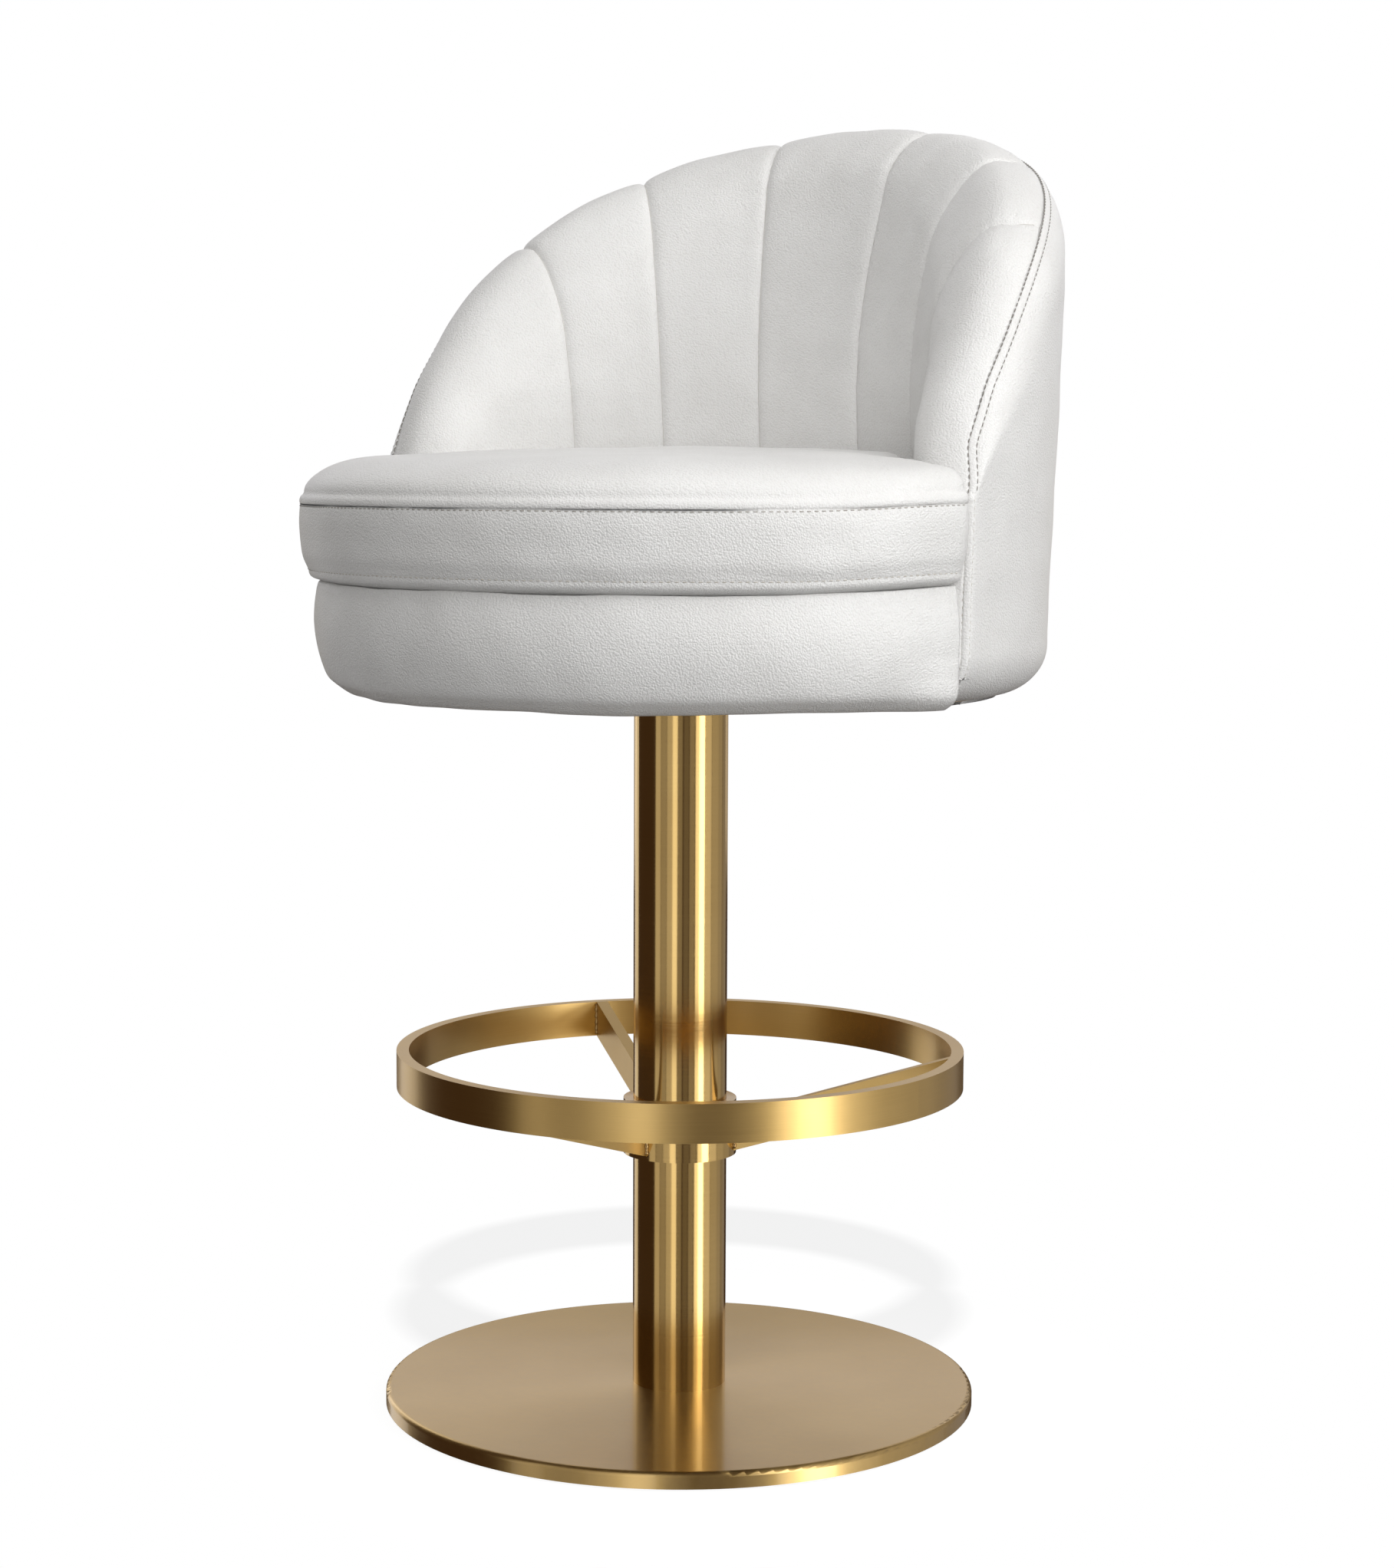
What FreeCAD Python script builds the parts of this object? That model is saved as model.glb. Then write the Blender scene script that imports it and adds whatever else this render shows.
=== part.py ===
import FreeCAD, Part
import math
import os

# Bar stool with a round tub seat, a brass column and a ring footrest.
# Millimetres. The origin is on the floor at the middle of the base plate, +Z is up and the
# seat faces -Y. "turn" is an angle about the column, from straight back (+Y) towards +X.

Vector = FreeCAD.Vector
UP = Vector(0, 0, 1)

# ---- base and column ---------------------------------------------------------------------
BASE_RADIUS = 240.0
BASE_TOP = 14.4
BASE_UNDERSIDE = 1.5
BASE_EDGE_ROUND = 4.0
FLOOR_RING_OUTER = 226.0
FLOOR_RING_INNER = 196.0
TUBE_RADIUS = 38.05
TUBE_WALL = 2.0
TUBE_BORE = TUBE_RADIUS - TUBE_WALL
TUBE_TOP = 565.0
FOOT_PLUG_THICK = 14.0
BASE_SCREW_CIRCLE = 22.0
BASE_SCREW_RADIUS = 4.0
BASE_SCREW_HEAD_RADIUS = 8.0
BASE_SCREW_HEAD_DEPTH = 4.5

# ---- footrest ----------------------------------------------------------------------------
RING_RADIUS = 230.0
RING_THICK = 10.0
RING_TOP = 292.0
RING_HEIGHT = 30.0
COLLAR_RADIUS = 46.0
COLLAR_BOTTOM = 205.3
COLLAR_TOP = 250.3
COLLAR_CLEARANCE = 0.1
SPOKE_THICK = 10.0
SPOKE_TOP_AT_COLLAR = 238.0
SPOKE_BOTTOM_AT_COLLAR = 209.0
SPOKE_DIRECTIONS = (25.2, 145.2, 265.2)
GRUB_RADIUS = 3.0
GRUB_HEIGHT = 240.0

# ---- swivel ------------------------------------------------------------------------------
CAP_RADIUS = 41.5
CAP_THICK = 3.0
HOUSING_DEPTH = 56.0
HOUSING_BORE = 20.0
BUSH_FIT = 0.05
SPINDLE_RADIUS = 15.0
BUSH_HEIGHT = 14.0
WASHER_RADIUS = 38.0
WASHER_THICK = 2.0
AXIAL_PLAY = 0.05
HUB_RADIUS = 38.0
PLATE_UNDERSIDE = 581.0
PLATE_TOP = 585.0
PLATE_SIDE = 200.0
PLATE_BOLT_OFFSET = 78.0
BOLT_RADIUS = 4.0
CLIP_THICK = 2.0
CLIP_RADIUS = 19.0
CLIP_GROOVE_DEPTH = 1.5

# ---- seat drum ---------------------------------------------------------------------------
DRUM_RADIUS = 256.0
DRUM_WALL = 12.0
SEAT_BOARD_TOP = 603.0
DECK_BOARD_TOP = 668.0
DECK_BOARD_THICK = 12.0
SKIN = 2.5
ARM_FRONT = -43.0
PIECE_GAP = 0.4

# ---- seat cushion ------------------------------------------------------------------------
CUSHION_RADIUS = 303.0
CUSHION_BOTTOM = DECK_BOARD_TOP
CUSHION_SEAM = 735.0
CUSHION_CROWN = 776.0
WELL_CENTRE_Y = -38.0
WELL_RADIUS_LOW = 219.0
DECK_STRIP_WIDTH = 15.0
DECK_STRIP_TOP = 768.0
WELL_WALL = ((219.0, 768.5), (213.5, 785.0), (211.5, 825.0), (213.5, 870.0), (217.5, 900.0),
             (223.0, 930.0), (230.0, 960.0), (240.0, 1000.0), (252.0, 1047.0), (262.0, 1090.0))

# ---- back --------------------------------------------------------------------------------
BACK_BOTTOM = 588.0
BACK_LOWER_CORNER = 38.0
BACK_RADIUS_LOW = 291.0
BACK_RADIUS_HIGH = 301.0
BACK_HIGH_Z = 898.0
BACK_TOP = 1047.0
CREST_RADIUS = 254.0
CREST_BASE = 740.0
CREST_TURN = 95.5
CREST_STEPS = 8
FRAME_THICK = 12.0
FRAME_FRONT = -30.0
FRAME_DROP = 50.0
SEAM_DROP = 12.0
CHANNEL_TURNS = (-100.0, -67.0, -43.0, -16.5, 16.5, 43.0, 67.0, 100.0)
FRAME_BOLT_TURNS = (-60.0, 0.0, 60.0)
FRAME_BOLT_HEIGHTS = (617.0, 648.0)


def save(name, shape):
    """Write one sub-part to its own STEP file."""
    os.makedirs("parts", exist_ok=True)
    if not shape.isValid() or shape.Volume <= 0.0:
        raise ValueError(name + " is not a sound solid")
    shape.exportStep("parts/" + name + ".step")
    print("%-24s solids %2d  volume %10.1f cm3" % (name, len(shape.Solids), shape.Volume / 1000.0))


def disc(radius, bottom, top, centre_x=0.0, centre_y=0.0):
    """Upright cylinder between two heights."""
    return Part.makeCylinder(radius, top - bottom, Vector(centre_x, centre_y, bottom), UP)


def ring(outer, inner, bottom, top):
    """Upright ring about the column."""
    return disc(outer, bottom, top).cut(disc(inner, bottom - 1.0, top + 1.0))


def turned(points):
    """Solid of revolution about the column from a closed (radius, height) outline."""
    wire = Part.makePolygon([Vector(r, 0, z) for r, z in points + points[:1]])
    return Part.Face(wire).revolve(Vector(0, 0, 0), UP, 360.0)


def block(x_range, y_range, z_range):
    """Box between three pairs of limits."""
    size = [high - low for low, high in (x_range, y_range, z_range)]
    corner = Vector(x_range[0], y_range[0], z_range[0])
    return Part.makeBox(size[0], size[1], size[2], corner)


def in_front_of(limit):
    """Everything that lies in front of the plane y = limit."""
    return block((-400.0, 400.0), (-400.0, limit), (500.0, 1100.0))


def behind(limit):
    """Everything that lies behind the plane y = limit."""
    return block((-400.0, 400.0), (limit, 400.0), (500.0, 1100.0))


def wedge(turn_from, turn_to):
    """Upright wedge about the column between two turns."""
    reach = 500.0
    points = [Vector(0, 0, 500.0)]
    for turn in (turn_from, (turn_from + turn_to) / 2.0, turn_to):
        angle = math.radians(turn)
        points.append(Vector(reach * math.sin(angle), reach * math.cos(angle), 500.0))
    face = Part.Face(Part.makePolygon(points + points[:1]))
    return face.extrude(Vector(0, 0, 600.0))


# ---- base and column ---------------------------------------------------------------------
def base_screw(angle):
    """One countersunk screw, driven from below through the plate into the foot plug."""
    x = BASE_SCREW_CIRCLE * math.cos(angle)
    y = BASE_SCREW_CIRCLE * math.sin(angle)
    low = BASE_UNDERSIDE
    head = Part.makeCone(BASE_SCREW_HEAD_RADIUS, BASE_SCREW_RADIUS, BASE_SCREW_HEAD_DEPTH,
                         Vector(x, y, low), UP)
    return head.fuse(disc(BASE_SCREW_RADIUS, low, BASE_TOP + FOOT_PLUG_THICK - 2.0, x, y))


def make_base():
    screws = [base_screw(math.radians(120.0 * i)) for i in range(3)]
    plate = disc(BASE_RADIUS, BASE_UNDERSIDE, BASE_TOP)
    rim = [edge for edge in plate.Edges if abs(edge.CenterOfMass.z - BASE_TOP) < 0.01]
    plate = plate.makeFillet(BASE_EDGE_ROUND, rim[:1])
    plug = disc(TUBE_BORE, BASE_TOP, BASE_TOP + FOOT_PLUG_THICK)
    for screw in screws:
        plate = plate.cut(screw)
        plug = plug.cut(screw)
    save("base_plate", plate)
    save("base_floor_ring", ring(FLOOR_RING_OUTER, FLOOR_RING_INNER, 0.0, BASE_UNDERSIDE))
    save("base_screws", Part.makeCompound(screws))
    save("column_foot_plug", plug)
    save("column_tube", ring(TUBE_RADIUS, TUBE_BORE, BASE_TOP, TUBE_TOP))


# ---- footrest ----------------------------------------------------------------------------
def spoke(direction):
    """Flat bar on edge, flush with the ring's top and sloping down to the collar."""
    inner = RING_RADIUS - RING_THICK
    start = COLLAR_RADIUS - 8.0
    rise = (RING_TOP - SPOKE_TOP_AT_COLLAR) / (inner - COLLAR_RADIUS)
    drop = rise * (COLLAR_RADIUS - start)
    ring_underside = RING_TOP - RING_HEIGHT + 1.0
    outline = [(start, SPOKE_BOTTOM_AT_COLLAR - drop), (inner + 4.0, ring_underside),
               (inner + 4.0, RING_TOP), (inner, RING_TOP), (start, SPOKE_TOP_AT_COLLAR - drop)]
    points = [Vector(r, -SPOKE_THICK / 2.0, z) for r, z in outline]
    bar = Part.Face(Part.makePolygon(points + points[:1])).extrude(Vector(0, SPOKE_THICK, 0))
    bar = bar.common(ring(inner, COLLAR_RADIUS, 150.0, 350.0))
    bar.rotate(Vector(0, 0, 0), UP, direction)
    return bar


def make_footrest():
    collar = ring(COLLAR_RADIUS, TUBE_RADIUS + COLLAR_CLEARANCE, COLLAR_BOTTOM, COLLAR_TOP)
    grubs = []
    for direction in SPOKE_DIRECTIONS:
        angle = math.radians(direction + 60.0)
        outward = Vector(math.cos(angle), math.sin(angle), 0)
        tip = outward * TUBE_RADIUS + Vector(0, 0, GRUB_HEIGHT)
        grub = Part.makeCylinder(GRUB_RADIUS, COLLAR_RADIUS - TUBE_RADIUS - 1.0, tip, outward)
        hole = Part.makeCylinder(GRUB_RADIUS, COLLAR_RADIUS, tip, outward)
        collar = collar.cut(hole)
        grubs.append(grub.cut(disc(TUBE_RADIUS, GRUB_HEIGHT - 10.0, GRUB_HEIGHT + 10.0)))
    save("footrest_collar", collar)
    save("footrest_grub_screws", Part.makeCompound(grubs))
    for number, direction in enumerate(SPOKE_DIRECTIONS, start=1):
        save("footrest_spoke_%d" % number, spoke(direction))
    save("footrest_ring",
         ring(RING_RADIUS, RING_RADIUS - RING_THICK, RING_TOP - RING_HEIGHT, RING_TOP))


# ---- swivel ------------------------------------------------------------------------------
def make_swivel():
    cap_top = TUBE_TOP + CAP_THICK
    washer_top = cap_top + WASHER_THICK
    housing_bottom = TUBE_TOP - HOUSING_DEPTH
    bush_inner = SPINDLE_RADIUS + BUSH_FIT

    housing = ring(TUBE_BORE, HOUSING_BORE, housing_bottom, TUBE_TOP)
    housing = housing.fuse(ring(CAP_RADIUS, HOUSING_BORE, TUBE_TOP, cap_top)).removeSplitter()
    save("swivel_housing", housing)
    save("swivel_lower_bush",
         ring(HOUSING_BORE, bush_inner, housing_bottom, housing_bottom + BUSH_HEIGHT))
    save("swivel_upper_bush", ring(HOUSING_BORE, bush_inner, cap_top - BUSH_HEIGHT, cap_top))
    save("swivel_thrust_washer", ring(WASHER_RADIUS, bush_inner, cap_top, washer_top))

    clip_top = housing_bottom - 1.0
    clip_bottom = clip_top - CLIP_THICK
    groove_radius = SPINDLE_RADIUS - CLIP_GROOVE_DEPTH
    clip = ring(CLIP_RADIUS, groove_radius, clip_bottom, clip_top)
    clip = clip.cut(block((0.0, 30.0), (-3.0, 3.0), (clip_bottom - 1.0, clip_top + 1.0)))
    spindle = disc(SPINDLE_RADIUS, clip_bottom - 6.0, PLATE_UNDERSIDE)
    spindle = spindle.cut(ring(SPINDLE_RADIUS + 5.0, groove_radius, clip_bottom, clip_top))
    spindle = spindle.fuse(disc(HUB_RADIUS, washer_top + AXIAL_PLAY, PLATE_UNDERSIDE))
    save("swivel_spindle", spindle.removeSplitter())
    save("swivel_clip", clip)


def make_seat_plate():
    """Square steel plate under the seat, with its bolts and the tee nuts in the board."""
    half = PLATE_SIDE / 2.0
    plate = block((-half, half), (-half, half), (PLATE_UNDERSIDE, PLATE_TOP))
    corners = [edge for edge in plate.Edges if abs(edge.Vertexes[0].Z - edge.Vertexes[-1].Z) > 1.0]
    plate = plate.makeFillet(20.0, corners)
    bolts = []
    nuts = []
    for side_x in (-1, 1):
        for side_y in (-1, 1):
            x = side_x * PLATE_BOLT_OFFSET
            y = side_y * PLATE_BOLT_OFFSET
            head = disc(6.5, PLATE_UNDERSIDE - 4.5, PLATE_UNDERSIDE, x, y)
            shank = disc(BOLT_RADIUS, PLATE_UNDERSIDE, SEAT_BOARD_TOP - 1.0, x, y)
            bolts.append(head.fuse(shank))
            barrel = disc(5.5, PLATE_TOP + 6.0, SEAT_BOARD_TOP, x, y)
            flange = disc(11.0, SEAT_BOARD_TOP, SEAT_BOARD_TOP + 1.5, x, y)
            bore = disc(BOLT_RADIUS, PLATE_TOP, SEAT_BOARD_TOP + 5.0, x, y)
            nuts.append(barrel.fuse(flange).cut(bore))
            plate = plate.cut(disc(BOLT_RADIUS, PLATE_UNDERSIDE - 1.0, PLATE_TOP + 1.0, x, y))
    save("seat_plate", plate)
    save("seat_plate_bolts", Part.makeCompound(bolts))
    save("seat_board_tee_nuts", Part.makeCompound(nuts))


# ---- seat drum ---------------------------------------------------------------------------
def frame_bolt(turn, height):
    """Radial bolt that holds the bent back frame to the drum wall."""
    angle = math.radians(turn)
    outward = Vector(math.sin(angle), math.cos(angle), 0)
    level = Vector(0, 0, height)
    start = outward * (DRUM_RADIUS - DRUM_WALL) + level
    shank = Part.makeCylinder(BOLT_RADIUS, DRUM_WALL + FRAME_THICK, start, outward)
    head_start = outward * (DRUM_RADIUS + FRAME_THICK - 1.0) + level
    return shank.fuse(Part.makeCylinder(8.0, 5.0, head_start, outward)).removeSplitter()


FRAME_BOLTS = Part.makeCompound(
    [frame_bolt(turn, height) for turn in FRAME_BOLT_TURNS for height in FRAME_BOLT_HEIGHTS])


def make_drum():
    board = disc(DRUM_RADIUS, PLATE_TOP, SEAT_BOARD_TOP)
    for side_x in (-1, 1):
        for side_y in (-1, 1):
            board = board.cut(disc(5.5, PLATE_TOP - 1.0, SEAT_BOARD_TOP + 1.0,
                                   side_x * PLATE_BOLT_OFFSET, side_y * PLATE_BOLT_OFFSET))
    wall = ring(DRUM_RADIUS, DRUM_RADIUS - DRUM_WALL, SEAT_BOARD_TOP, DECK_BOARD_TOP)
    deck_bottom = DECK_BOARD_TOP - DECK_BOARD_THICK
    save("seat_board", board)
    save("seat_drum_wall", wall.cut(FRAME_BOLTS))
    save("seat_deck_board", disc(DRUM_RADIUS - DRUM_WALL, deck_bottom, DECK_BOARD_TOP))
    save("seat_dust_cover", ring(DRUM_RADIUS - 6.0, 150.0, PLATE_TOP - 1.0, PLATE_TOP))


def apron_body(inset):
    """The drum's padded front, soft at its lower edge, shrunk by inset."""
    outer = BACK_RADIUS_LOW + 2.0 - inset
    low = PLATE_TOP - 2.0 + inset
    top = CUSHION_BOTTOM - PIECE_GAP - inset
    outline = [Vector(DRUM_RADIUS, 0, low), Vector(outer - 28.0, 0, low)]
    lower_turn = Part.Arc(outline[1], Vector(outer - 11.0, 0, low + 11.0),
                          Vector(outer - 1.5, 0, low + 38.0))
    side = Part.Arc(Vector(outer - 1.5, 0, low + 38.0), Vector(outer, 0, low + 60.0),
                    Vector(outer - 6.0, 0, top))
    edges = [Part.LineSegment(outline[0], outline[1]).toShape(), lower_turn.toShape(),
             side.toShape(),
             Part.LineSegment(Vector(outer - 6.0, 0, top), Vector(DRUM_RADIUS, 0, top)).toShape(),
             Part.LineSegment(Vector(DRUM_RADIUS, 0, top), outline[0]).toShape()]
    body = Part.Face(Part.Wire(edges)).revolve(Vector(0, 0, 0), UP, 360.0)
    return body.common(in_front_of(ARM_FRONT - PIECE_GAP - inset))


def make_apron():
    foam = apron_body(SKIN)
    save("apron_foam", foam)
    save("apron_cover", apron_body(0.0).cut(foam))


# ---- seat cushion ------------------------------------------------------------------------
def cushion_plan(inset, bottom, top):
    """Round front that runs out over the apron, and a smaller round tail in the well."""
    tail_radius = WELL_RADIUS_LOW - DECK_STRIP_WIDTH - PIECE_GAP - inset
    front = disc(CUSHION_RADIUS - inset, bottom, top)
    front = front.common(in_front_of(ARM_FRONT - PIECE_GAP - inset))
    tail = disc(tail_radius, bottom, top, 0.0, WELL_CENTRE_Y)
    return front.fuse(tail).removeSplitter()


def crown(inset):
    """Domed volume over the cushion's seam line."""
    rise = CUSHION_CROWN - CUSHION_SEAM
    sphere_radius = (CUSHION_RADIUS ** 2 + rise ** 2) / (2.0 * rise)
    centre = Vector(0, 0, CUSHION_CROWN - sphere_radius)
    return Part.makeSphere(sphere_radius - inset, centre)


def make_cushion():
    base_top = CUSHION_BOTTOM + SKIN
    reach = CUSHION_CROWN + 20.0
    foam = cushion_plan(SKIN, base_top, reach).common(crown(SKIN))
    top_cover = cushion_plan(0.0, CUSHION_SEAM - SKIN, reach).common(crown(0.0))
    top_cover = top_cover.cut(cushion_plan(SKIN, base_top, reach).common(crown(SKIN)))
    top_cover = top_cover.common(block((-400, 400), (-400, 400), (CUSHION_SEAM - SKIN, reach)))
    band = cushion_plan(0.0, base_top, CUSHION_SEAM - SKIN)
    band = band.cut(cushion_plan(SKIN, base_top - 1.0, reach))
    save("cushion_foam", foam)
    save("cushion_top_cover", top_cover)
    save("cushion_band", band)
    save("cushion_base_cloth", cushion_plan(0.0, CUSHION_BOTTOM, base_top))


def make_deck_strip():
    """Padded ledge between the cushion's tail and the foot of the back."""
    outer = WELL_RADIUS_LOW - PIECE_GAP
    inner = outer - DECK_STRIP_WIDTH + PIECE_GAP
    strip = disc(outer, CUSHION_BOTTOM, DECK_STRIP_TOP, 0.0, WELL_CENTRE_Y)
    strip = strip.cut(disc(inner, CUSHION_BOTTOM - 1.0, DECK_STRIP_TOP + 1.0, 0.0, WELL_CENTRE_Y))
    save("deck_strip", strip.common(behind(ARM_FRONT)))


# ---- back --------------------------------------------------------------------------------
def under_edge(drop):
    """Everything under the back's upper edge, lowered by drop.

    Seen from the side the edge is a quarter ellipse laid round the crest circle. It falls from
    the top of the back to the arms, runs forward to the cushion's seam and then straight down.
    """
    turn_limit = math.radians(CREST_TURN) - drop / CREST_RADIUS
    rise = BACK_TOP - CREST_BASE - drop
    crest = []
    for step in range(CREST_STEPS + 1):
        share = math.radians(80.0) * step / CREST_STEPS
        turn = turn_limit * math.sin(share)
        height = CREST_BASE + rise * math.cos(share)
        crest.append(Vector(-400.0, CREST_RADIUS * math.cos(turn), height))
    front = ARM_FRONT + drop
    curve = Part.BSplineCurve()
    curve.interpolate(crest)
    corners = [crest[-1], Vector(-400.0, front, CREST_BASE - 5.0), Vector(-400.0, front, 560.0),
               Vector(-400.0, 350.0, 560.0), Vector(-400.0, 350.0, crest[0].z), crest[0]]
    edges = [curve.toShape()]
    for start, end in zip(corners, corners[1:]):
        edges.append(Part.LineSegment(start, end).toShape())
    return Part.Face(Part.Wire(edges)).extrude(Vector(800.0, 0, 0))


def shell_body(inset):
    """Full round of the back's outer face, leaning out a little, shrunk by inset."""
    low = BACK_BOTTOM + inset
    corner = BACK_LOWER_CORNER
    points = [(0.0, low), (BACK_RADIUS_LOW - inset - corner, low),
              (BACK_RADIUS_LOW - inset - corner / 3.0, low + corner / 3.0),
              (BACK_RADIUS_LOW - inset, low + corner),
              (BACK_RADIUS_HIGH - inset, BACK_HIGH_Z), (BACK_RADIUS_HIGH - inset, 1090.0),
              (0.0, 1090.0)]
    return turned(points)


def make_back():
    outer_inner = DRUM_RADIUS + FRAME_THICK
    edge = under_edge(0.0)
    seam_edge = under_edge(SEAM_DROP)
    slab = behind(ARM_FRONT)

    frame = ring(outer_inner, DRUM_RADIUS, SEAT_BOARD_TOP, 1090.0)
    frame = frame.common(under_edge(FRAME_DROP)).common(behind(FRAME_FRONT))
    save("back_frame", frame.cut(FRAME_BOLTS))
    save("back_frame_bolts", FRAME_BOLTS)

    drum_space = disc(DRUM_RADIUS, 500.0, 1090.0)
    foam = shell_body(SKIN).cut(drum_space).common(seam_edge).common(slab)
    foam_solid = foam.cut(frame).cut(FRAME_BOLTS)
    cover = shell_body(0.0).cut(drum_space).common(seam_edge).common(slab).cut(foam)
    save("back_outer_foam", foam_solid)
    save("back_outer_cover", cover)

    wall_top = WELL_WALL[-1][1]
    well = turned([(0.0, CUSHION_BOTTOM), (WELL_RADIUS_LOW, CUSHION_BOTTOM), *WELL_WALL,
                   (0.0, wall_top)])
    well.translate(Vector(0, WELL_CENTRE_Y, 0))
    padding = shell_body(0.0).cut(disc(400.0, 500.0, CUSHION_BOTTOM)).cut(well)
    padding = padding.common(edge).common(slab)
    padding = padding.cut(seam_edge.cut(drum_space))
    half_gap = math.degrees(PIECE_GAP / 2.0 / DRUM_RADIUS)
    pairs = zip(CHANNEL_TURNS, CHANNEL_TURNS[1:])
    for number, (turn_from, turn_to) in enumerate(pairs, start=1):
        channel = padding.common(wedge(turn_from + half_gap, turn_to - half_gap))
        save("back_channel_%d" % number, channel)


make_base()
make_footrest()
make_swivel()
make_seat_plate()
make_drum()
make_apron()
make_cushion()
make_deck_strip()
make_back()
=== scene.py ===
import math

import bmesh
import bpy
import numpy as np
from mathutils import Matrix, Vector


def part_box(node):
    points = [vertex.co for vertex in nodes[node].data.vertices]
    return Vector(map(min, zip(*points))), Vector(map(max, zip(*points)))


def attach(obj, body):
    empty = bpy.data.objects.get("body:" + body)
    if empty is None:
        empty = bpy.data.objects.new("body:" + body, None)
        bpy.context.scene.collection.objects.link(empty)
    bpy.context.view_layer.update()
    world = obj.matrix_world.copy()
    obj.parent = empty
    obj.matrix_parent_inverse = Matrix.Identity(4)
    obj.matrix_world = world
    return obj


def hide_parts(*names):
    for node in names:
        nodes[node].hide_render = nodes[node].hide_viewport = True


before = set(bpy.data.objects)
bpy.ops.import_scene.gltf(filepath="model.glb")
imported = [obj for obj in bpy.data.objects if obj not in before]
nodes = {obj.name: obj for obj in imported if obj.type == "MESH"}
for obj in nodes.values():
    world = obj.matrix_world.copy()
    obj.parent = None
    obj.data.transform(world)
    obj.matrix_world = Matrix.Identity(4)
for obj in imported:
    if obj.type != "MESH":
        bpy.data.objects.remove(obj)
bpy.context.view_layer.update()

# A swivel bar stool: white leathercloth tub seat, satin brass column, ring footrest and base.
# Metres, in the CAD frame. "turn" is an angle about the column from straight back (+Y)
# towards +X. The back is laid out flat as (s, z): s is the way round its crest circle.

# ---- sizes read from the frame -----------------------------------------------------------
BACK_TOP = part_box("back_channel_4")[1].z
BACK_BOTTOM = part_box("back_outer_cover")[0].z
BACK_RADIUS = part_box("back_outer_cover")[1].y
ARM_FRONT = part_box("back_channel_1")[0].y
CUSHION_RADIUS = -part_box("cushion_band")[0].y
CUSHION_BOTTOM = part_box("cushion_base_cloth")[0].z
CUSHION_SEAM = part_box("cushion_band")[1].z
CUSHION_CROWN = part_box("cushion_top_cover")[1].z
TAIL_EDGE_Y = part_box("cushion_top_cover")[1].y
APRON_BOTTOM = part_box("apron_cover")[0].z
APRON_RADIUS = -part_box("apron_cover")[0].y
DECK_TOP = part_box("deck_strip")[1].z
DECK_OUTER_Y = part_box("deck_strip")[1].y
DRUM_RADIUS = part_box("seat_board")[1].y
RING_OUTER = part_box("footrest_ring")[1].x
COLLAR_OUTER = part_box("footrest_collar")[1].x

# ---- the back's shape --------------------------------------------------------------------
CREST_RADIUS = 0.254
CREST_TURN = math.radians(95.5)      # the arm's front edge, 24 mm ahead of the column's axis
CREST_BASE = 0.740
CREST_RISE = BACK_TOP - CREST_BASE
# how far the arm's nose runs forward of the crest line, by height
FLARE_HEIGHTS = (0.700, 0.735, 0.763, 0.786, 0.807, 0.829, 0.850, 0.870)
FLARE_SIZES = (0.0190, 0.0180, 0.0130, 0.0115, 0.0095, 0.0065, 0.0020, 0.0)
EDGE_CORNER = 0.006
FOOT_CORNER = 0.038
BACK_RADIUS_LOW = 0.291
WELL_CENTRE_Y = -0.038
WALL_HEIGHTS = (0.668, 0.768, 0.785, 0.825, 0.870, 0.900, 0.930, 0.960, 1.000, 1.047)
WALL_RADII = (0.2185, 0.2155, 0.2135, 0.2115, 0.2135, 0.2175, 0.2230, 0.2300, 0.2400, 0.2520)
ARM_THINNING = 0.009
ROLL_TURNS = (0.0, 17.0, 44.0, 67.0, 80.0, 95.0)
ROLL_SIZES = (0.045, 0.045, 0.068, 0.070, 0.052, 0.040)
SEAMS = [math.radians(turn) for turn in (-69.0, -45.2, -17.2, 17.2, 45.2, 69.0)]
SEAM_TAPER = 0.905       # how much nearer to the middle a channel seam ends than it starts
SHOULDER = math.radians(45)     # where the twin seam lies on the roll
SHOULDER_LOW = math.radians(25)     # how much further out it runs beside the cushion
TWIN_HALF = 0.0031              # half the band between the two stitched lines
PITCH = 0.0056
GAP = 0.0004
CUSHION_END_DRAW = 0.0076
APRON_END_DRAW = 0.0013
END_REACH = 0.016
ARM_LIFT = 0.0045        # how much higher the cushion's edge sits beside the arms
BACK_FOOT = BACK_BOTTOM - 0.0035
ARM_TURN = math.radians(80)     # a channel that reaches past this turn is an arm
REAR_LINE_Y = ARM_FRONT - GAP   # where the cushion's round front ends and its tail starts
TAIL_RADIUS = TAIL_EDGE_Y - WELL_CENTRE_Y
CUSHION_RIM = CUSHION_RADIUS - 0.003
CUSHION_UNDER = CUSHION_SEAM - 0.0014
LEVEL = np.array([1.0, 1.0, 0.0])

# ---- stitches: (place along the thread, lift, width) of each ring of one thread ------------
THREAD_SHAPE = ((-0.5, -0.0007, 0.7), (-0.34, 0.0, 1.0), (0.0, 0.00025, 1.0), (0.34, 0.0, 1.0),
                (0.5, -0.0007, 0.7))
THREAD_SIDES = 6
THREAD_SHARE = 0.72      # how much of the pitch a thread covers
THREAD_THICK = 0.00042


# ---- small helpers -----------------------------------------------------------------------
def smooth(x):
    x = np.clip(x, 0.0, 1.0)
    return x * x * (3.0 - 2.0 * x)


def quarter(x):
    """Quarter circle: 0 at 0, level at 1."""
    return np.sqrt(np.clip(1.0 - (1.0 - np.clip(x, 0.0, 1.0)) ** 2, 0.0, 1.0))


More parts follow.
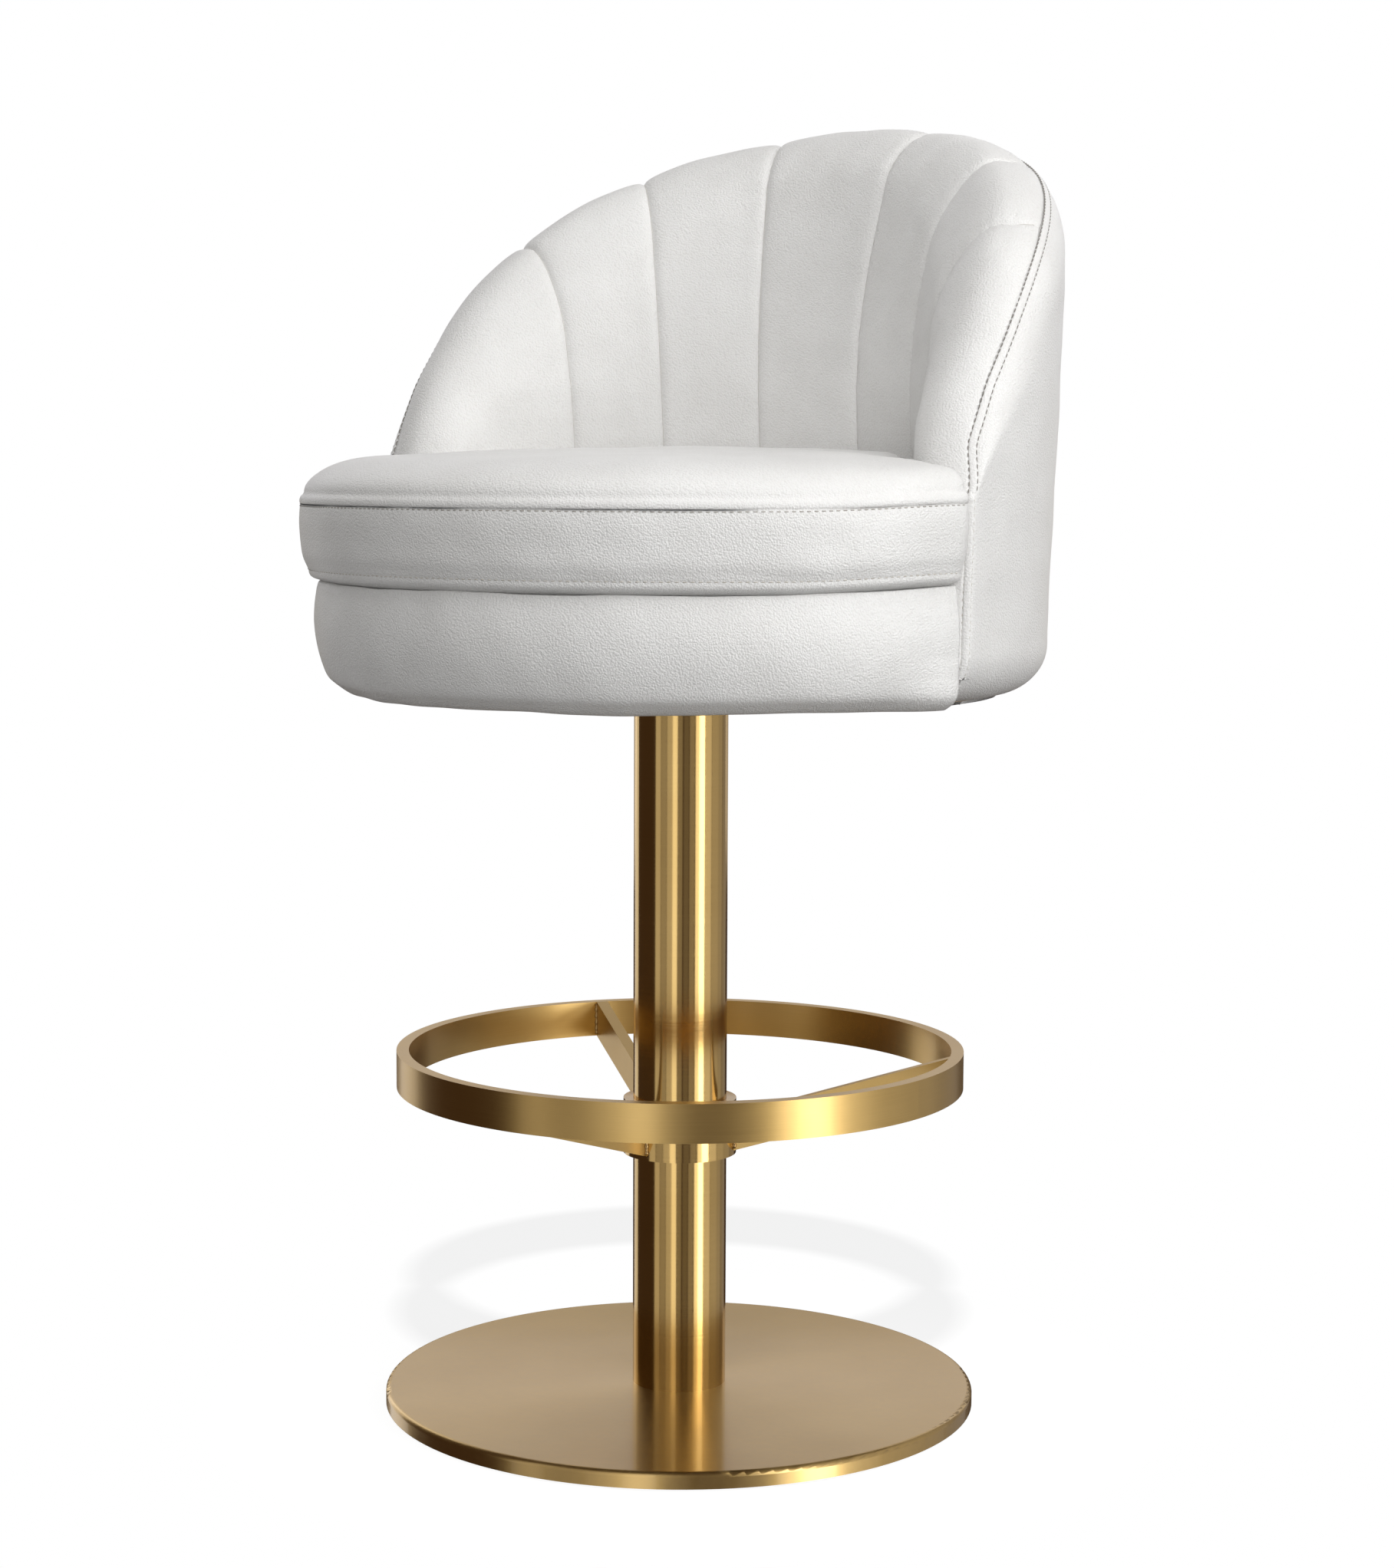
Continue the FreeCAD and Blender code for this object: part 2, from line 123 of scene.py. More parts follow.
def ripple(points, size, seed):
    """Smooth unevenness between about -1 and 1, with hills of about that size."""
    random = np.random.default_rng(seed)
    total = np.zeros(points.shape[:-1])
    waves = 14
    for _ in range(waves):
        direction = random.normal(size=3)
        direction /= np.linalg.norm(direction)
        length = size * random.uniform(1.4, 3.2)
        phase = random.uniform(0.0, 2.0 * math.pi)
        total += np.sin(points @ direction * (2.0 * math.pi / length) + phase)
    return total / math.sqrt(waves)


def unit(vectors):
    return vectors / np.maximum(np.linalg.norm(vectors, axis=-1, keepdims=True), 1e-12)


def away_from_axis(points):
    """Level unit directions away from the column's axis."""
    return unit(points * LEVEL)


def grid_normals(grid):
    """Unit normals of a grid of points, from its two directions."""
    return unit(np.cross(np.gradient(grid, axis=0), np.gradient(grid, axis=1)))


def outward_normals(grid):
    """Unit normals of a grid round the column, pointing away from it."""
    normals = grid_normals(grid)
    return -normals if (normals * grid * LEVEL).sum() < 0 else normals


def way_along(grid, axis):
    """Distance from a grid's first points, along one of its directions."""
    steps = np.linalg.norm(np.diff(grid, axis=axis), axis=-1)
    start = np.zeros_like(np.take(steps, [0], axis=axis))
    return np.concatenate([start, np.cumsum(steps, axis=axis)], axis=axis)


def grid_faces(columns, rows, start=0, flip=False):
    faces = []
    for i in range(columns - 1):
        for j in range(rows - 1):
            a = start + i * rows + j
            face = (a, a + rows, a + rows + 1, a + 1)
            faces.append(face[::-1] if flip else face)
    return faces


def make_mesh(name, points, faces, material):
    mesh = bpy.data.meshes.new(name)
    mesh.from_pydata([tuple(p) for p in points], [], faces)
    mesh.validate()
    mesh.polygons.foreach_set("use_smooth", [True] * len(mesh.polygons))
    mesh.materials.append(material)
    obj = bpy.data.objects.new(name, mesh)
    bpy.context.scene.collection.objects.link(obj)
    return obj


def closed_pad(name, front, back, material):
    """Closed piece between a front grid and a back grid of the same shape."""
    columns, rows = front.shape[:2]
    count = columns * rows
    faces = grid_faces(columns, rows) + grid_faces(columns, rows, count, True)
    rim = [(i * rows + j, rows, j > 0) for i in range(columns - 1) for j in (0, rows - 1)]
    rim += [(i * rows + j, 1, i == 0) for j in range(rows - 1) for i in (0, columns - 1)]
    for a, step, flip in rim:
        face = (a, count + a, count + a + step, a + step)
        faces.append(face[::-1] if flip else face)
    points = np.concatenate([front.reshape(-1, 3), back.reshape(-1, 3)])
    obj = make_mesh(name, points, faces, material)
    fix_normals(obj)
    return obj


def closed_sheet(name, top, under, faces, material):
    """Closed piece from a surface and its underside; points that coincide become one."""
    _, kept, index = np.unique(np.round(top, 5), axis=0, return_index=True, return_inverse=True)
    index = index.reshape(-1)
    top, under = top[kept], under[kept]
    joined = [tuple(int(index[v]) for v in face) for face in faces]
    edges = {}
    for face in joined:
        for a, b in zip(face, face[1:] + face[:1]):
            key = (min(a, b), max(a, b))
            edges[key] = None if key in edges else (a, b)
    count = len(top)
    closed = joined + [tuple(v + count for v in face[::-1]) for face in joined]
    closed += [(edge[1], edge[0], edge[0] + count, edge[1] + count)
               for edge in edges.values() if edge]
    obj = make_mesh(name, np.concatenate([top, under]), closed, material)
    fix_normals(obj)
    return obj


def fix_normals(obj):
    work = bmesh.new()
    work.from_mesh(obj.data)
    bmesh.ops.recalc_face_normals(work, faces=work.faces)
    work.to_mesh(obj.data)
    work.free()


def arc_lengths(points):
    steps = np.linalg.norm(np.diff(points, axis=0), axis=1)
    return np.concatenate([[0.0], np.cumsum(steps)])


def resample(values, lengths, wanted):
    return np.stack([np.interp(wanted, lengths, values[:, k]) for k in range(values.shape[1])], 1)


def tube_faces(rings, sides, first=0):
    """Faces of a tube made of rings of points, with both ends capped."""
    faces = []
    for ring in range(rings - 1):
        for k in range(sides):
            a, b = (first + ring * sides + n for n in (k, (k + 1) % sides))
            faces.append((a, b, b + sides, a + sides))
    faces.append(tuple(first + k for k in range(sides))[::-1])
    faces.append(tuple(first + (rings - 1) * sides + k for k in range(sides)))
    return faces


def stitches(name, points, normals, material):
    """A row of short threads along a line, each end sunk into the leathercloth."""
    lengths = arc_lengths(points)
    places, lifts, widths = np.array(THREAD_SHAPE).T
    verts, faces = [], []
    for k in range(int(lengths[-1] / PITCH)):
        middle = (k + 0.5) * PITCH
        centres = resample(points, lengths, middle + places * PITCH * THREAD_SHARE)
        normal = unit(resample(normals, lengths, np.array([middle]))[0])
        side = np.cross(unit(centres[-1] - centres[0]), normal)
        faces += tube_faces(len(centres), THREAD_SIDES, len(verts))
        for centre, lift, width in zip(centres, lifts, widths):
            for n in range(THREAD_SIDES):
                angle = 2.0 * math.pi * n / THREAD_SIDES
                offset = side * math.cos(angle) + normal * math.sin(angle)
                verts.append(centre + normal * lift + offset * THREAD_THICK * width)
    obj = make_mesh(name, np.array(verts), faces, material)
    fix_normals(obj)
    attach(obj, "seat")


def tube_along(name, points, normals, width, height, material, body, sides=8):
    """Closed strip of elliptic section that follows a line on a surface."""
    across = unit(np.cross(unit(np.gradient(points, axis=0)), normals))
    verts = []
    for p, a, n in zip(points, across, normals):
        for k in range(sides):
            angle = 2.0 * math.pi * k / sides
            verts.append(p + a * math.cos(angle) * width / 2 + n * math.sin(angle) * height / 2)
    obj = make_mesh(name, np.array(verts), tube_faces(len(points), sides), material)
    fix_normals(obj)
    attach(obj, body)
    return obj


def seat_piece(piece, *replaced, fill=None):
    """Leathercloth piece that turns with the seat, and the CAD nodes that it stands for."""
    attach(piece, "seat")
    if replaced:
        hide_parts(*replaced)


# ---- materials ---------------------------------------------------------------------------
def feed(tree, node, **inputs):
    """Link or set a node's inputs; an underscore stands for the space in an input's name."""
    for name, value in inputs.items():
        socket = node.inputs[name.replace("_", " ")]
        if isinstance(value, bpy.types.NodeSocket):
            tree.links.new(value, socket)
        else:
            socket.default_value = value
    return node


def add(tree, kind, **inputs):
    return feed(tree, tree.nodes.new("ShaderNode" + kind), **inputs)


def new_material(name):
    material = bpy.data.materials.new(name)
    material.use_nodes = True
    tree = material.node_tree
    tree.nodes.clear()
    shader = add(tree, "BsdfPrincipled")
    add(tree, "OutputMaterial", Surface=shader.outputs[0])
    return material, tree, shader, add(tree, "TexCoord").outputs["Object"]


def add_noise(tree, place, scale, detail=2.0, stretch=None):
    if stretch:
        place = add(tree, "Mapping", Vector=place, Scale=stretch).outputs["Vector"]
    return add(tree, "TexNoise", Vector=place, Scale=scale, Detail=detail).outputs["Fac"]


def add_ramp(tree, value, stops):
    """Ramp between two stops, each a place and a colour or a grey level."""
    node = add(tree, "ValToRGB", Fac=value)
    for element, (place, colour) in zip(node.color_ramp.elements, stops):
        element.position = place
        if not hasattr(colour, "__len__"):
            colour = (colour,) * 3
        element.color = (*colour, 1.0)
    return node.outputs["Color"]


def add_product(tree, first, second):
    node = tree.nodes.new("ShaderNodeMix")
    node.data_type = "RGBA"
    node.blend_type = "MULTIPLY"
    node.inputs[0].default_value = 1.0
    tree.links.new(first, node.inputs[6])
    tree.links.new(second, node.inputs[7])
    return node.outputs[2]


def add_bump(tree, height, distance, strength, **below):
    node = add(tree, "Bump", Height=height, Distance=distance, Strength=strength, **below)
    return node.outputs["Normal"]


def leathercloth():
    """Warm white, pearly, with a fine pebble grain about 1.4 mm across."""
    material, tree, shader, place = new_material("white_leathercloth")
    pebble = add(tree, "TexVoronoi", Vector=place)
    pebble.feature = "SMOOTH_F1"
    feed(tree, pebble, Scale=700.0, Smoothness=0.55, Randomness=0.95)
    grain = pebble.outputs["Distance"]
    fine = add_noise(tree, place, 1500.0)
    broad = add_noise(tree, place, 22.0, 3.0)
    tone = add_ramp(tree, broad, [(0.3, (0.800, 0.793, 0.780)), (0.7, (0.840, 0.835, 0.824))])
    # painted shade: the grain's pits, away from each pebble's middle, are painted up to about 5%
    # darker
    pit_shade = add_ramp(tree, grain, [(0.45, (1.0, 1.0, 1.0)), (0.85, (0.95, 0.945, 0.94))])
    under = add_bump(tree, fine, 0.00010, 0.45)
    raised = add_ramp(tree, grain, [(0.1, 1.0), (0.9, 0.0)])
    feed(tree, shader, Base_Color=add_product(tree, tone, pit_shade),
         Roughness=add_ramp(tree, fine, [(0.3, 0.34), (0.7, 0.52)]),
         Normal=add_bump(tree, raised, 0.00045, 0.9, Normal=under), Sheen_Weight=0.12,
         Sheen_Roughness=0.4, Coat_Weight=0.10, Coat_Roughness=0.32, IOR=1.5)
    return material


def thread(name, colour):
    material, tree, shader, place = new_material(name)
    twist = add_noise(tree, place, 2600.0, 1.0)
    light = tuple(min(1.0, c * 1.25) for c in colour)
    feed(tree, shader, Base_Color=add_ramp(tree, twist, [(0.35, colour), (0.65, light)]),
         Normal=add_bump(tree, twist, 0.0001, 0.6), Roughness=0.6)
    return material


def brass(name, stretch, rough_low, rough_high, anisotropy, coat, radial=False):
    """Satin brushed, lacquered brass; stretch draws the brush marks out along one direction."""
    material, tree, shader, place = new_material(name)
    marks = add_noise(tree, place, 1.0, 4.0, stretch)
    patches = add_noise(tree, place, 9.0, 4.0)
    hue = add_ramp(tree, patches, [(0.3, (0.62, 0.420, 0.150)), (0.7, (0.68, 0.475, 0.185))])
    streak = add_ramp(tree, marks, [(0.25, (0.93, 0.92, 0.90)), (0.75, (1.0, 1.0, 1.0))])
    feed(tree, shader, Base_Color=add_product(tree, hue, streak),
         Roughness=add_ramp(tree, marks, [(0.2, rough_low), (0.8, rough_high)]),
         Normal=add_bump(tree, marks, 0.00001, 0.15), Metallic=1.0, Anisotropic=anisotropy,
         Anisotropic_Rotation=0.25, Coat_Weight=coat, Coat_Roughness=0.07)
    if radial:
        tangent = add(tree, "Tangent")
        tangent.direction_type = "RADIAL"
        tangent.axis = "Z"
        feed(tree, shader, Tangent=tangent.outputs[0])
    return material


def plain(name, colour, roughness, metallic=0.0, grain=300.0, depth=0.0001):
    material, tree, shader, place = new_material(name)
    speck = add_noise(tree, place, grain, 3.0)
    dark = tuple(c * 0.82 for c in colour)
    feed(tree, shader, Base_Color=add_ramp(tree, speck, [(0.3, dark), (0.7, colour)]),
         Roughness=add_ramp(tree, speck, [(0.2, roughness * 0.85), (0.8, roughness * 1.1)]),
         Normal=add_bump(tree, speck, depth, 0.3), Metallic=metallic)
    return material


def plywood():
    material, tree, shader, place = new_material("plywood_raw")
    fibres = add_noise(tree, place, 1.0, 5.0, (14.0, 180.0, 520.0))
    wood = add_ramp(tree, fibres, [(0.25, (0.40, 0.27, 0.15)), (0.75, (0.66, 0.50, 0.32))])
    feed(tree, shader, Base_Color=wood, Normal=add_bump(tree, fibres, 0.0002, 0.3),
         Roughness=0.7)
    return material


WHITE = leathercloth()
DARK_THREAD = thread("thread_grey", (0.23, 0.215, 0.195))
# painted shade: this grey-beige, darker than the cloth, colours the strips laid in the channel
# seams' creases
CREASE_SHADE_THREAD = thread("thread_pale_crease_shade", (0.58, 0.565, 0.54))
SEAM_THREAD = thread("thread_greige", (0.36, 0.34, 0.305))
SOFT_THREAD = thread("thread_beige", (0.50, 0.47, 0.42))
BRASS_TUBE = brass("brass_tube", (14.0, 14.0, 2600.0), 0.12, 0.20, 0.7, 0.25, radial=True)
BRASS_RING = brass("brass_ring", (14.0, 14.0, 2200.0), 0.28, 0.36, 0.35, 0.10, radial=True)
BRASS_BASE = brass("brass_base", (160.0, 160.0, 160.0), 0.30, 0.36, 0.75, 0.50, radial=True)
BRASS_SPOKE = brass("brass_spoke", (30.0, 30.0, 90.0), 0.30, 0.36, 0.0, 0.10)
BRASS_WELD = plain("brass_weld", (0.50, 0.34, 0.15), 0.38, 1.0, 700.0, 0.0004)
DARK_STEEL = plain("dark_steel_paint", (0.035, 0.035, 0.038), 0.42)
BRIGHT_STEEL = plain("bright_steel_zinc", (0.60, 0.60, 0.60), 0.33, 1.0)
BUSH_PLASTIC = plain("bush_plastic_white", (0.78, 0.77, 0.73), 0.5)
PAD_RUBBER = plain("floor_pad_rubber", (0.03, 0.03, 0.03), 0.75)
BLACK_CLOTH = plain("black_dust_cloth", (0.025, 0.025, 0.027), 0.9, 0.0, 900.0, 0.0003)
PLYWOOD = plywood()

CAD_LOOKS = (
    (BRASS_BASE, "base_plate"), (BRASS_TUBE, "column_tube", "footrest_collar"),
    (BRASS_RING, "footrest_ring"),
    (BRASS_SPOKE, "footrest_spoke_1", "footrest_spoke_2", "footrest_spoke_3"),
    (PAD_RUBBER, "base_floor_ring"), (BLACK_CLOTH, "seat_dust_cover"),
    (BRIGHT_STEEL, "base_screws", "column_foot_plug", "swivel_spindle", "seat_plate_bolts",
     "seat_board_tee_nuts", "back_frame_bolts"),
    (DARK_STEEL, "footrest_grub_screws", "swivel_housing", "swivel_clip", "seat_plate"),
    (BUSH_PLASTIC, "swivel_lower_bush", "swivel_upper_bush", "swivel_thrust_washer"),
    (PLYWOOD, "seat_board", "seat_drum_wall", "seat_deck_board", "back_frame"),
)
for look, *names in CAD_LOOKS:
    for node in names:
        for slot in nodes[node].material_slots:
            slot.material = look


# ---- the back, laid out flat -------------------------------------------------------------
def edge_line():
    """The back's free edge from the left foot over the top to the right foot."""
    share = np.linspace(-math.pi / 2, math.pi / 2, 321)
    s = CREST_RADIUS * CREST_TURN * np.sin(share)
    z = CREST_BASE + CREST_RISE * np.cos(share)
    forward = np.mean([np.interp(z + blur, FLARE_HEIGHTS, FLARE_SIZES)
                       for blur in np.linspace(-0.012, 0.012, 9)], axis=0)
    forward[np.abs(z - CREST_BASE) < 1e-9] = FLARE_SIZES[0]
    s = s + np.sign(s) * np.maximum(forward, FLARE_SIZES[0] * smooth((0.762 - z) / 0.022))
    front = s[-1]
    corner = np.linspace(0.0, math.pi / 2, 13)
    down_z = np.concatenate([np.linspace(CREST_BASE, BACK_BOTTOM + EDGE_CORNER, 40)[1:],
                             BACK_BOTTOM + EDGE_CORNER * (1.0 - np.sin(corner[1:]))])
    down_s = np.concatenate([np.full(39, front), front - EDGE_CORNER * (1.0 - np.cos(corner[1:]))])
    left = np.stack([-down_s, down_z], 1)[::-1]
    right = np.stack([down_s, down_z], 1)
    line = np.concatenate([left, np.stack([s, z], 1), right])
    lengths = arc_lengths(line)
    return resample(line, lengths, np.linspace(0.0, lengths[-1], 900))


EDGE = edge_line()
EDGE_LENGTHS = arc_lengths(EDGE)
EDGE_TANGENT = unit(np.gradient(EDGE, axis=0))
EDGE_INWARD = np.stack([EDGE_TANGENT[:, 1], -EDGE_TANGENT[:, 0]], 1)
SEAM_SPAN = slice(12, len(EDGE) - 12)      # the stretch of edge that the twin seam follows


def edge_distance(s, z):
    """Distance from points inside the flat layout to the free edge."""
    points = np.stack([s, z], -1).reshape(-1, 2)
    start, step = EDGE[:-1], np.diff(EDGE, axis=0)
    square = (step ** 2).sum(1)
    nearest = np.empty(len(points))
    for first in range(0, len(points), 4000):
        part = points[first:first + 4000, None, :] - start[None]
        along = np.clip((part * step[None]).sum(2) / square[None], 0.0, 1.0)
        gap = part - along[..., None] * step[None]
        nearest[first:first + 4000] = np.sqrt((gap ** 2).sum(2).min(1))
    return nearest.reshape(np.shape(s))


def crest_radius(s):
    """The roll's middle, a little further out on the arms."""
    turn = np.abs(s) / CREST_RADIUS
    return CREST_RADIUS + 0.004 * smooth((turn - 1.05) / 0.5)


def outer_roll(z):
    """Size of the roll's outer quarter: large above, a small corner beside the cushion."""
    return 0.010 + 0.034 * smooth((z - 0.738) / 0.085)


def inner_roll(s):
    return np.interp(np.degrees(np.abs(s) / CREST_RADIUS), ROLL_TURNS, ROLL_SIZES)


def outer_radius(z):
    low = BACK_RADIUS_LOW + 0.0015
    return low + (BACK_RADIUS - low) * np.clip((z - 0.634) / 0.264, 0.0, 1.0)


def inner_radius(turn, z):
    well = np.interp(z, WALL_HEIGHTS, WALL_RADII)
    well = well + ARM_THINNING * smooth((np.abs(np.degrees(turn)) - 62.0) / 26.0)
    side = WELL_CENTRE_Y * np.sin(turn)
    return WELL_CENTRE_Y * np.cos(turn) + np.sqrt(well ** 2 - side ** 2)


def place(s, z, radius):
    """Point of the layout at a radius; past the sides the arms run straight forward."""
    turn = s / CREST_RADIUS
    round_part = np.clip(turn, -math.pi / 2, math.pi / 2)
    y = radius * np.cos(round_part) - CREST_RADIUS * np.abs(turn - round_part)
    return np.stack([radius * np.sin(round_part), y, z + 0.0 * turn], -1)


def outer_surface(s, z):
    middle = crest_radius(s)
    radius = middle + (outer_radius(z) - middle) * quarter(edge_distance(s, z) / outer_roll(z))
    corner = FOOT_CORNER * (1.0 - quarter((z - BACK_FOOT) / FOOT_CORNER))
    return place(s, z, radius - corner)


def inner_surface(s, z):
    middle = crest_radius(s)
    wall = inner_radius(s / CREST_RADIUS, z)
    radius = middle - (middle - wall) * quarter(edge_distance(s, z) / inner_roll(s))
    return place(s, z, radius)


def shoulder_angle(z):
    return SHOULDER + SHOULDER_LOW * smooth((0.785 - z) / 0.050)


def skin_per_angle(base, angle):
    """Length along the roll's outer quarter for a small change of angle."""
    wide = outer_radius(base[:, 1]) - crest_radius(base[:, 0])
    return np.hypot(wide * np.cos(angle), outer_roll(base[:, 1]) * np.sin(angle))


def shoulder_line(offset):
    """Points, normals and layout of a line beside the twin seam, offset along the skin."""
    base, inward = EDGE[SEAM_SPAN], EDGE_INWARD[SEAM_SPAN]
    size = outer_roll(base[:, 1])
    middle = shoulder_angle(base[:, 1])
    angle = middle + offset / skin_per_angle(base, middle)
    flat = base + inward * (size * (1.0 - np.cos(angle)))[:, None]
    points = outer_surface(flat[:, 0], flat[:, 1])
    deeper = base + inward * (size * (1.0 - np.cos(angle + 0.05)))[:, None]
    across = outer_surface(deeper[:, 0], deeper[:, 1]) - points
    along = np.gradient(points, axis=0)
    normals = unit(np.cross(along, across))
    normals *= np.sign((normals * (points * LEVEL + [0, 0, 0.2])).sum(1))[:, None]
    return points, normals, flat


# ---- outside of the back -----------------------------------------------------------------
def make_back_outer():
    """Plain outer panel, from the twin seam down to its turned-under hem."""
    _, _, top = shoulder_line(TWIN_HALF)
    pick = np.linspace(0, len(top) - 1, 420).astype(int)
    top = top[pick]
    crossing = math.radians(66) * CREST_RADIUS
    way = EDGE_LENGTHS[SEAM_SPAN][pick]
    way = way - (way[0] + way[-1]) / 2
    high = np.interp(crossing, EDGE[450:, 0], EDGE_LENGTHS[450:] - EDGE_LENGTHS[-1] / 2)
    foot_s = top[-1, 0]
    share = np.clip((np.abs(way) - high) / (way[-1] - high), 0.0, 1.0)
    bottom_s = np.where(np.abs(way) < high, top[:, 0],
                        np.sign(way) * (crossing + (foot_s - crossing) * share))
    bottom = np.stack([bottom_s, np.full(len(top), BACK_FOOT)], 1)
    rows = 84
    down = 0.5 - 0.5 * np.cos(np.linspace(0.0, math.pi, rows))
    flat = top[:, None] + (bottom - top)[:, None] * down[None, :, None]
    front = outer_surface(flat[..., 0], flat[..., 1])
    rim = np.hypot(front[:, -1, 0], front[:, -1, 1])
    hem = ((DRUM_RADIUS + 0.0010, -0.0002), (DRUM_RADIUS - 0.0010, -0.0006),
           (DRUM_RADIUS - 0.0040, -0.0008))
    radii = np.array([row[0] for row in hem])[None]
    drop = np.array([row[1] for row in hem])[None]
    under = front[:, -1:] * (radii / rim[:, None])[..., None]
    under[..., 2] = front[:, -1:, 2] + drop
    front = np.concatenate([front, under], axis=1)
    normals = grid_normals(front)
    outward = front * LEVEL - np.array([0.0, 0.0, 0.2])
    normals *= np.sign((normals * outward).sum(-1))[..., None]
    wave = 0.0005 * ripple(front, 0.07, 3) + 0.0003 * ripple(front, 0.025, 4)
    from_seam = np.linalg.norm(front - front[:, :1], axis=-1)
    wave -= 0.0009 * np.exp(-from_seam / 0.010)
    front = front + normals * wave[..., None]
    back = front - normals * 0.006
    piece = closed_pad("back_outer_panel", front, back, WHITE)
    seat_piece(piece, "back_outer_foam", "back_outer_cover", fill=0.8)


# ---- channels of the inside back ---------------------------------------------------------
def channel_columns(turn_from, turn_to, count):
    """Edge point, direction and foot of each column of one channel, in the flat layout."""
    share = 0.5 - 0.5 * np.cos(np.linspace(0.0, math.pi, count))
    middle = len(EDGE) // 2
    half = EDGE_LENGTHS[-1] / 2
    top_s = np.array([turn_from, turn_to]) * CREST_RADIUS
    low_z = CUSHION_BOTTOM + 0.03
    ends = []
    for s, turn in zip(top_s, (turn_from, turn_to)):
        side = 1 if turn > 0 else -1
        if abs(turn) < ARM_TURN:
            order = EDGE[middle:] if side > 0 else EDGE[:middle + 1][::-1]
            lengths = EDGE_LENGTHS[middle:] - half if side > 0 else \
                half - EDGE_LENGTHS[:middle + 1][::-1]
            ends.append(side * np.interp(abs(s), np.abs(order[:, 0]), lengths))
        else:
            order = EDGE[middle:]
            lengths = EDGE_LENGTHS[middle:] - half
            where = np.argmax(order[:, 1] < low_z)
            ends.append(side * lengths[where])
    arm = max(abs(turn_from), abs(turn_to)) > ARM_TURN
    if not arm:
        s = turn_from * CREST_RADIUS + (turn_to - turn_from) * CREST_RADIUS * share
        way = np.interp(s, EDGE[:, 0][100:-100], EDGE_LENGTHS[100:-100])
    else:
        way = half + ends[0] + (ends[1] - ends[0]) * share
    base = resample(EDGE, EDGE_LENGTHS, way)
    inward = unit(resample(EDGE_INWARD, EDGE_LENGTHS, way))
    foot = np.stack([base[:, 0] * SEAM_TAPER, np.full(count, low_z)], 1)
    direction = unit(foot - base)
    if arm:
        from_seam = share if turn_to > 0 else 1.0 - share
        weight = smooth(from_seam / 0.45)[:, None]
        direction = unit(direction * (1.0 - weight) + inward * weight)
        seam_s = min(abs(turn_from), abs(turn_to)) * CREST_RADIUS * SEAM_TAPER
        nose_s = np.abs(base[:, 0]).max() - 0.052
        side = 1 if turn_to > 0 else -1
        foot[:, 0] = side * (seam_s + (nose_s - seam_s) * from_seam)
    facing = (direction * inward).sum(1)
    return base, inward, direction, facing, foot


def make_channel(number, turn_from, turn_to):
    """One stuffed channel: over the roll from the twin seam, and down into the seat."""
    arm = max(abs(turn_from), abs(turn_to)) > ARM_TURN
    count = 84 if arm else 52
    base, inward, direction, facing, foot = channel_columns(turn_from, turn_to, count)
    outer_size = outer_roll(base[:, 1])
    inner_size = inner_roll(base[:, 0])

    middle = shoulder_angle(base[:, 1])
    start = middle - TWIN_HALF / skin_per_angle(base, middle)
    outer_steps = np.linspace(1.0, 0.0, 12)[:-1]
    angles = start[:, None] * outer_steps[None]
    reach = outer_size[:, None] * (1.0 - np.cos(angles)) / facing[:, None]
    beyond = 2.0 * facing[:, None] * inward - direction
    flat_out = base[:, None] + beyond[:, None] * reach[..., None]

    angles = np.linspace(0.0, math.pi / 2, 26)
    reach = inner_size[:, None] * (1.0 - np.cos(angles))[None] / facing[:, None]
    flat_in = base[:, None] + direction[:, None] * reach[..., None]
    knee = flat_in[:, -1]
    steps = np.linspace(0.0, 1.0, 44)[1:]
    flat_low = knee[:, None] + (foot - knee)[:, None] * steps[None, :, None]
    flat_in = np.concatenate([flat_in, flat_low], axis=1)

    outside = outer_surface(flat_out[..., 0], flat_out[..., 1])
    inside = inner_surface(flat_in[..., 0], flat_in[..., 1])
    front = np.concatenate([outside, inside], axis=1)
    normals = grid_normals(front)
    probe = front[count // 2, 40] * LEVEL
    if (normals[count // 2, 40] * probe).sum() > 0:
        normals = -normals

    way_across = way_along(front, 0)
    width = way_across[-1]
    first_seam = abs(turn_from) < ARM_TURN
    last_seam = abs(turn_to) < ARM_TURN
    far = np.full_like(way_across, 1.0)
    gap = np.minimum(way_across if first_seam else far,
                     (width - way_across) if last_seam else far)
    half = np.minimum(np.maximum(width / 2, 0.02), 0.055)
    pillow = 1.0 - (1.0 - np.clip(gap / half, 0.0, 1.0)) ** 2.2
    crease = np.exp(-gap / 0.0032)
    from_twin = way_along(front, 1)
    fade = smooth(from_twin / 0.030)
    pucker = np.sin(from_twin / 0.0135 * 2 * math.pi + 2.0 * ripple(front, 0.03, 20 + number))
    detail = (0.0030 * (pillow - 1.0) - 0.0036 * crease) * (0.25 + 0.75 * fade)
    detail += 0.00028 * pucker * np.exp(-gap / 0.011) * fade
    detail -= 0.0010 * np.exp(-from_twin / 0.006)
    detail += 0.00055 * ripple(front, 0.06, 40 + number) * np.clip(gap / 0.02, 0, 1)
    detail += 0.00022 * ripple(front, 0.018, 60 + number)
    front = front + normals * detail[..., None]
    back = front - normals * 0.0055
    piece = closed_pad("channel_pad_%d" % number, front, back, WHITE)
    seat_piece(piece, "back_channel_%d" % number, fill=0.75)
    return front, normals


def make_back_inside():
    limits = [-math.radians(100)] + SEAMS + [math.radians(100)]
    for number in range(1, 8):
        front, normals = make_channel(number, limits[number - 1], limits[number])
        if number < 7:
            # a grey-beige strip down each channel seam: it stands for the seam, and its colour is
            # painted shade of the seam's crease
            tube_along("channel_seam_and_shade_%d" % number, front[-1, 2:] + normals[-1, 2:] * 0.0001,
                       normals[-1, 2:], 0.0012, 0.0009, CREASE_SHADE_THREAD, "seat")


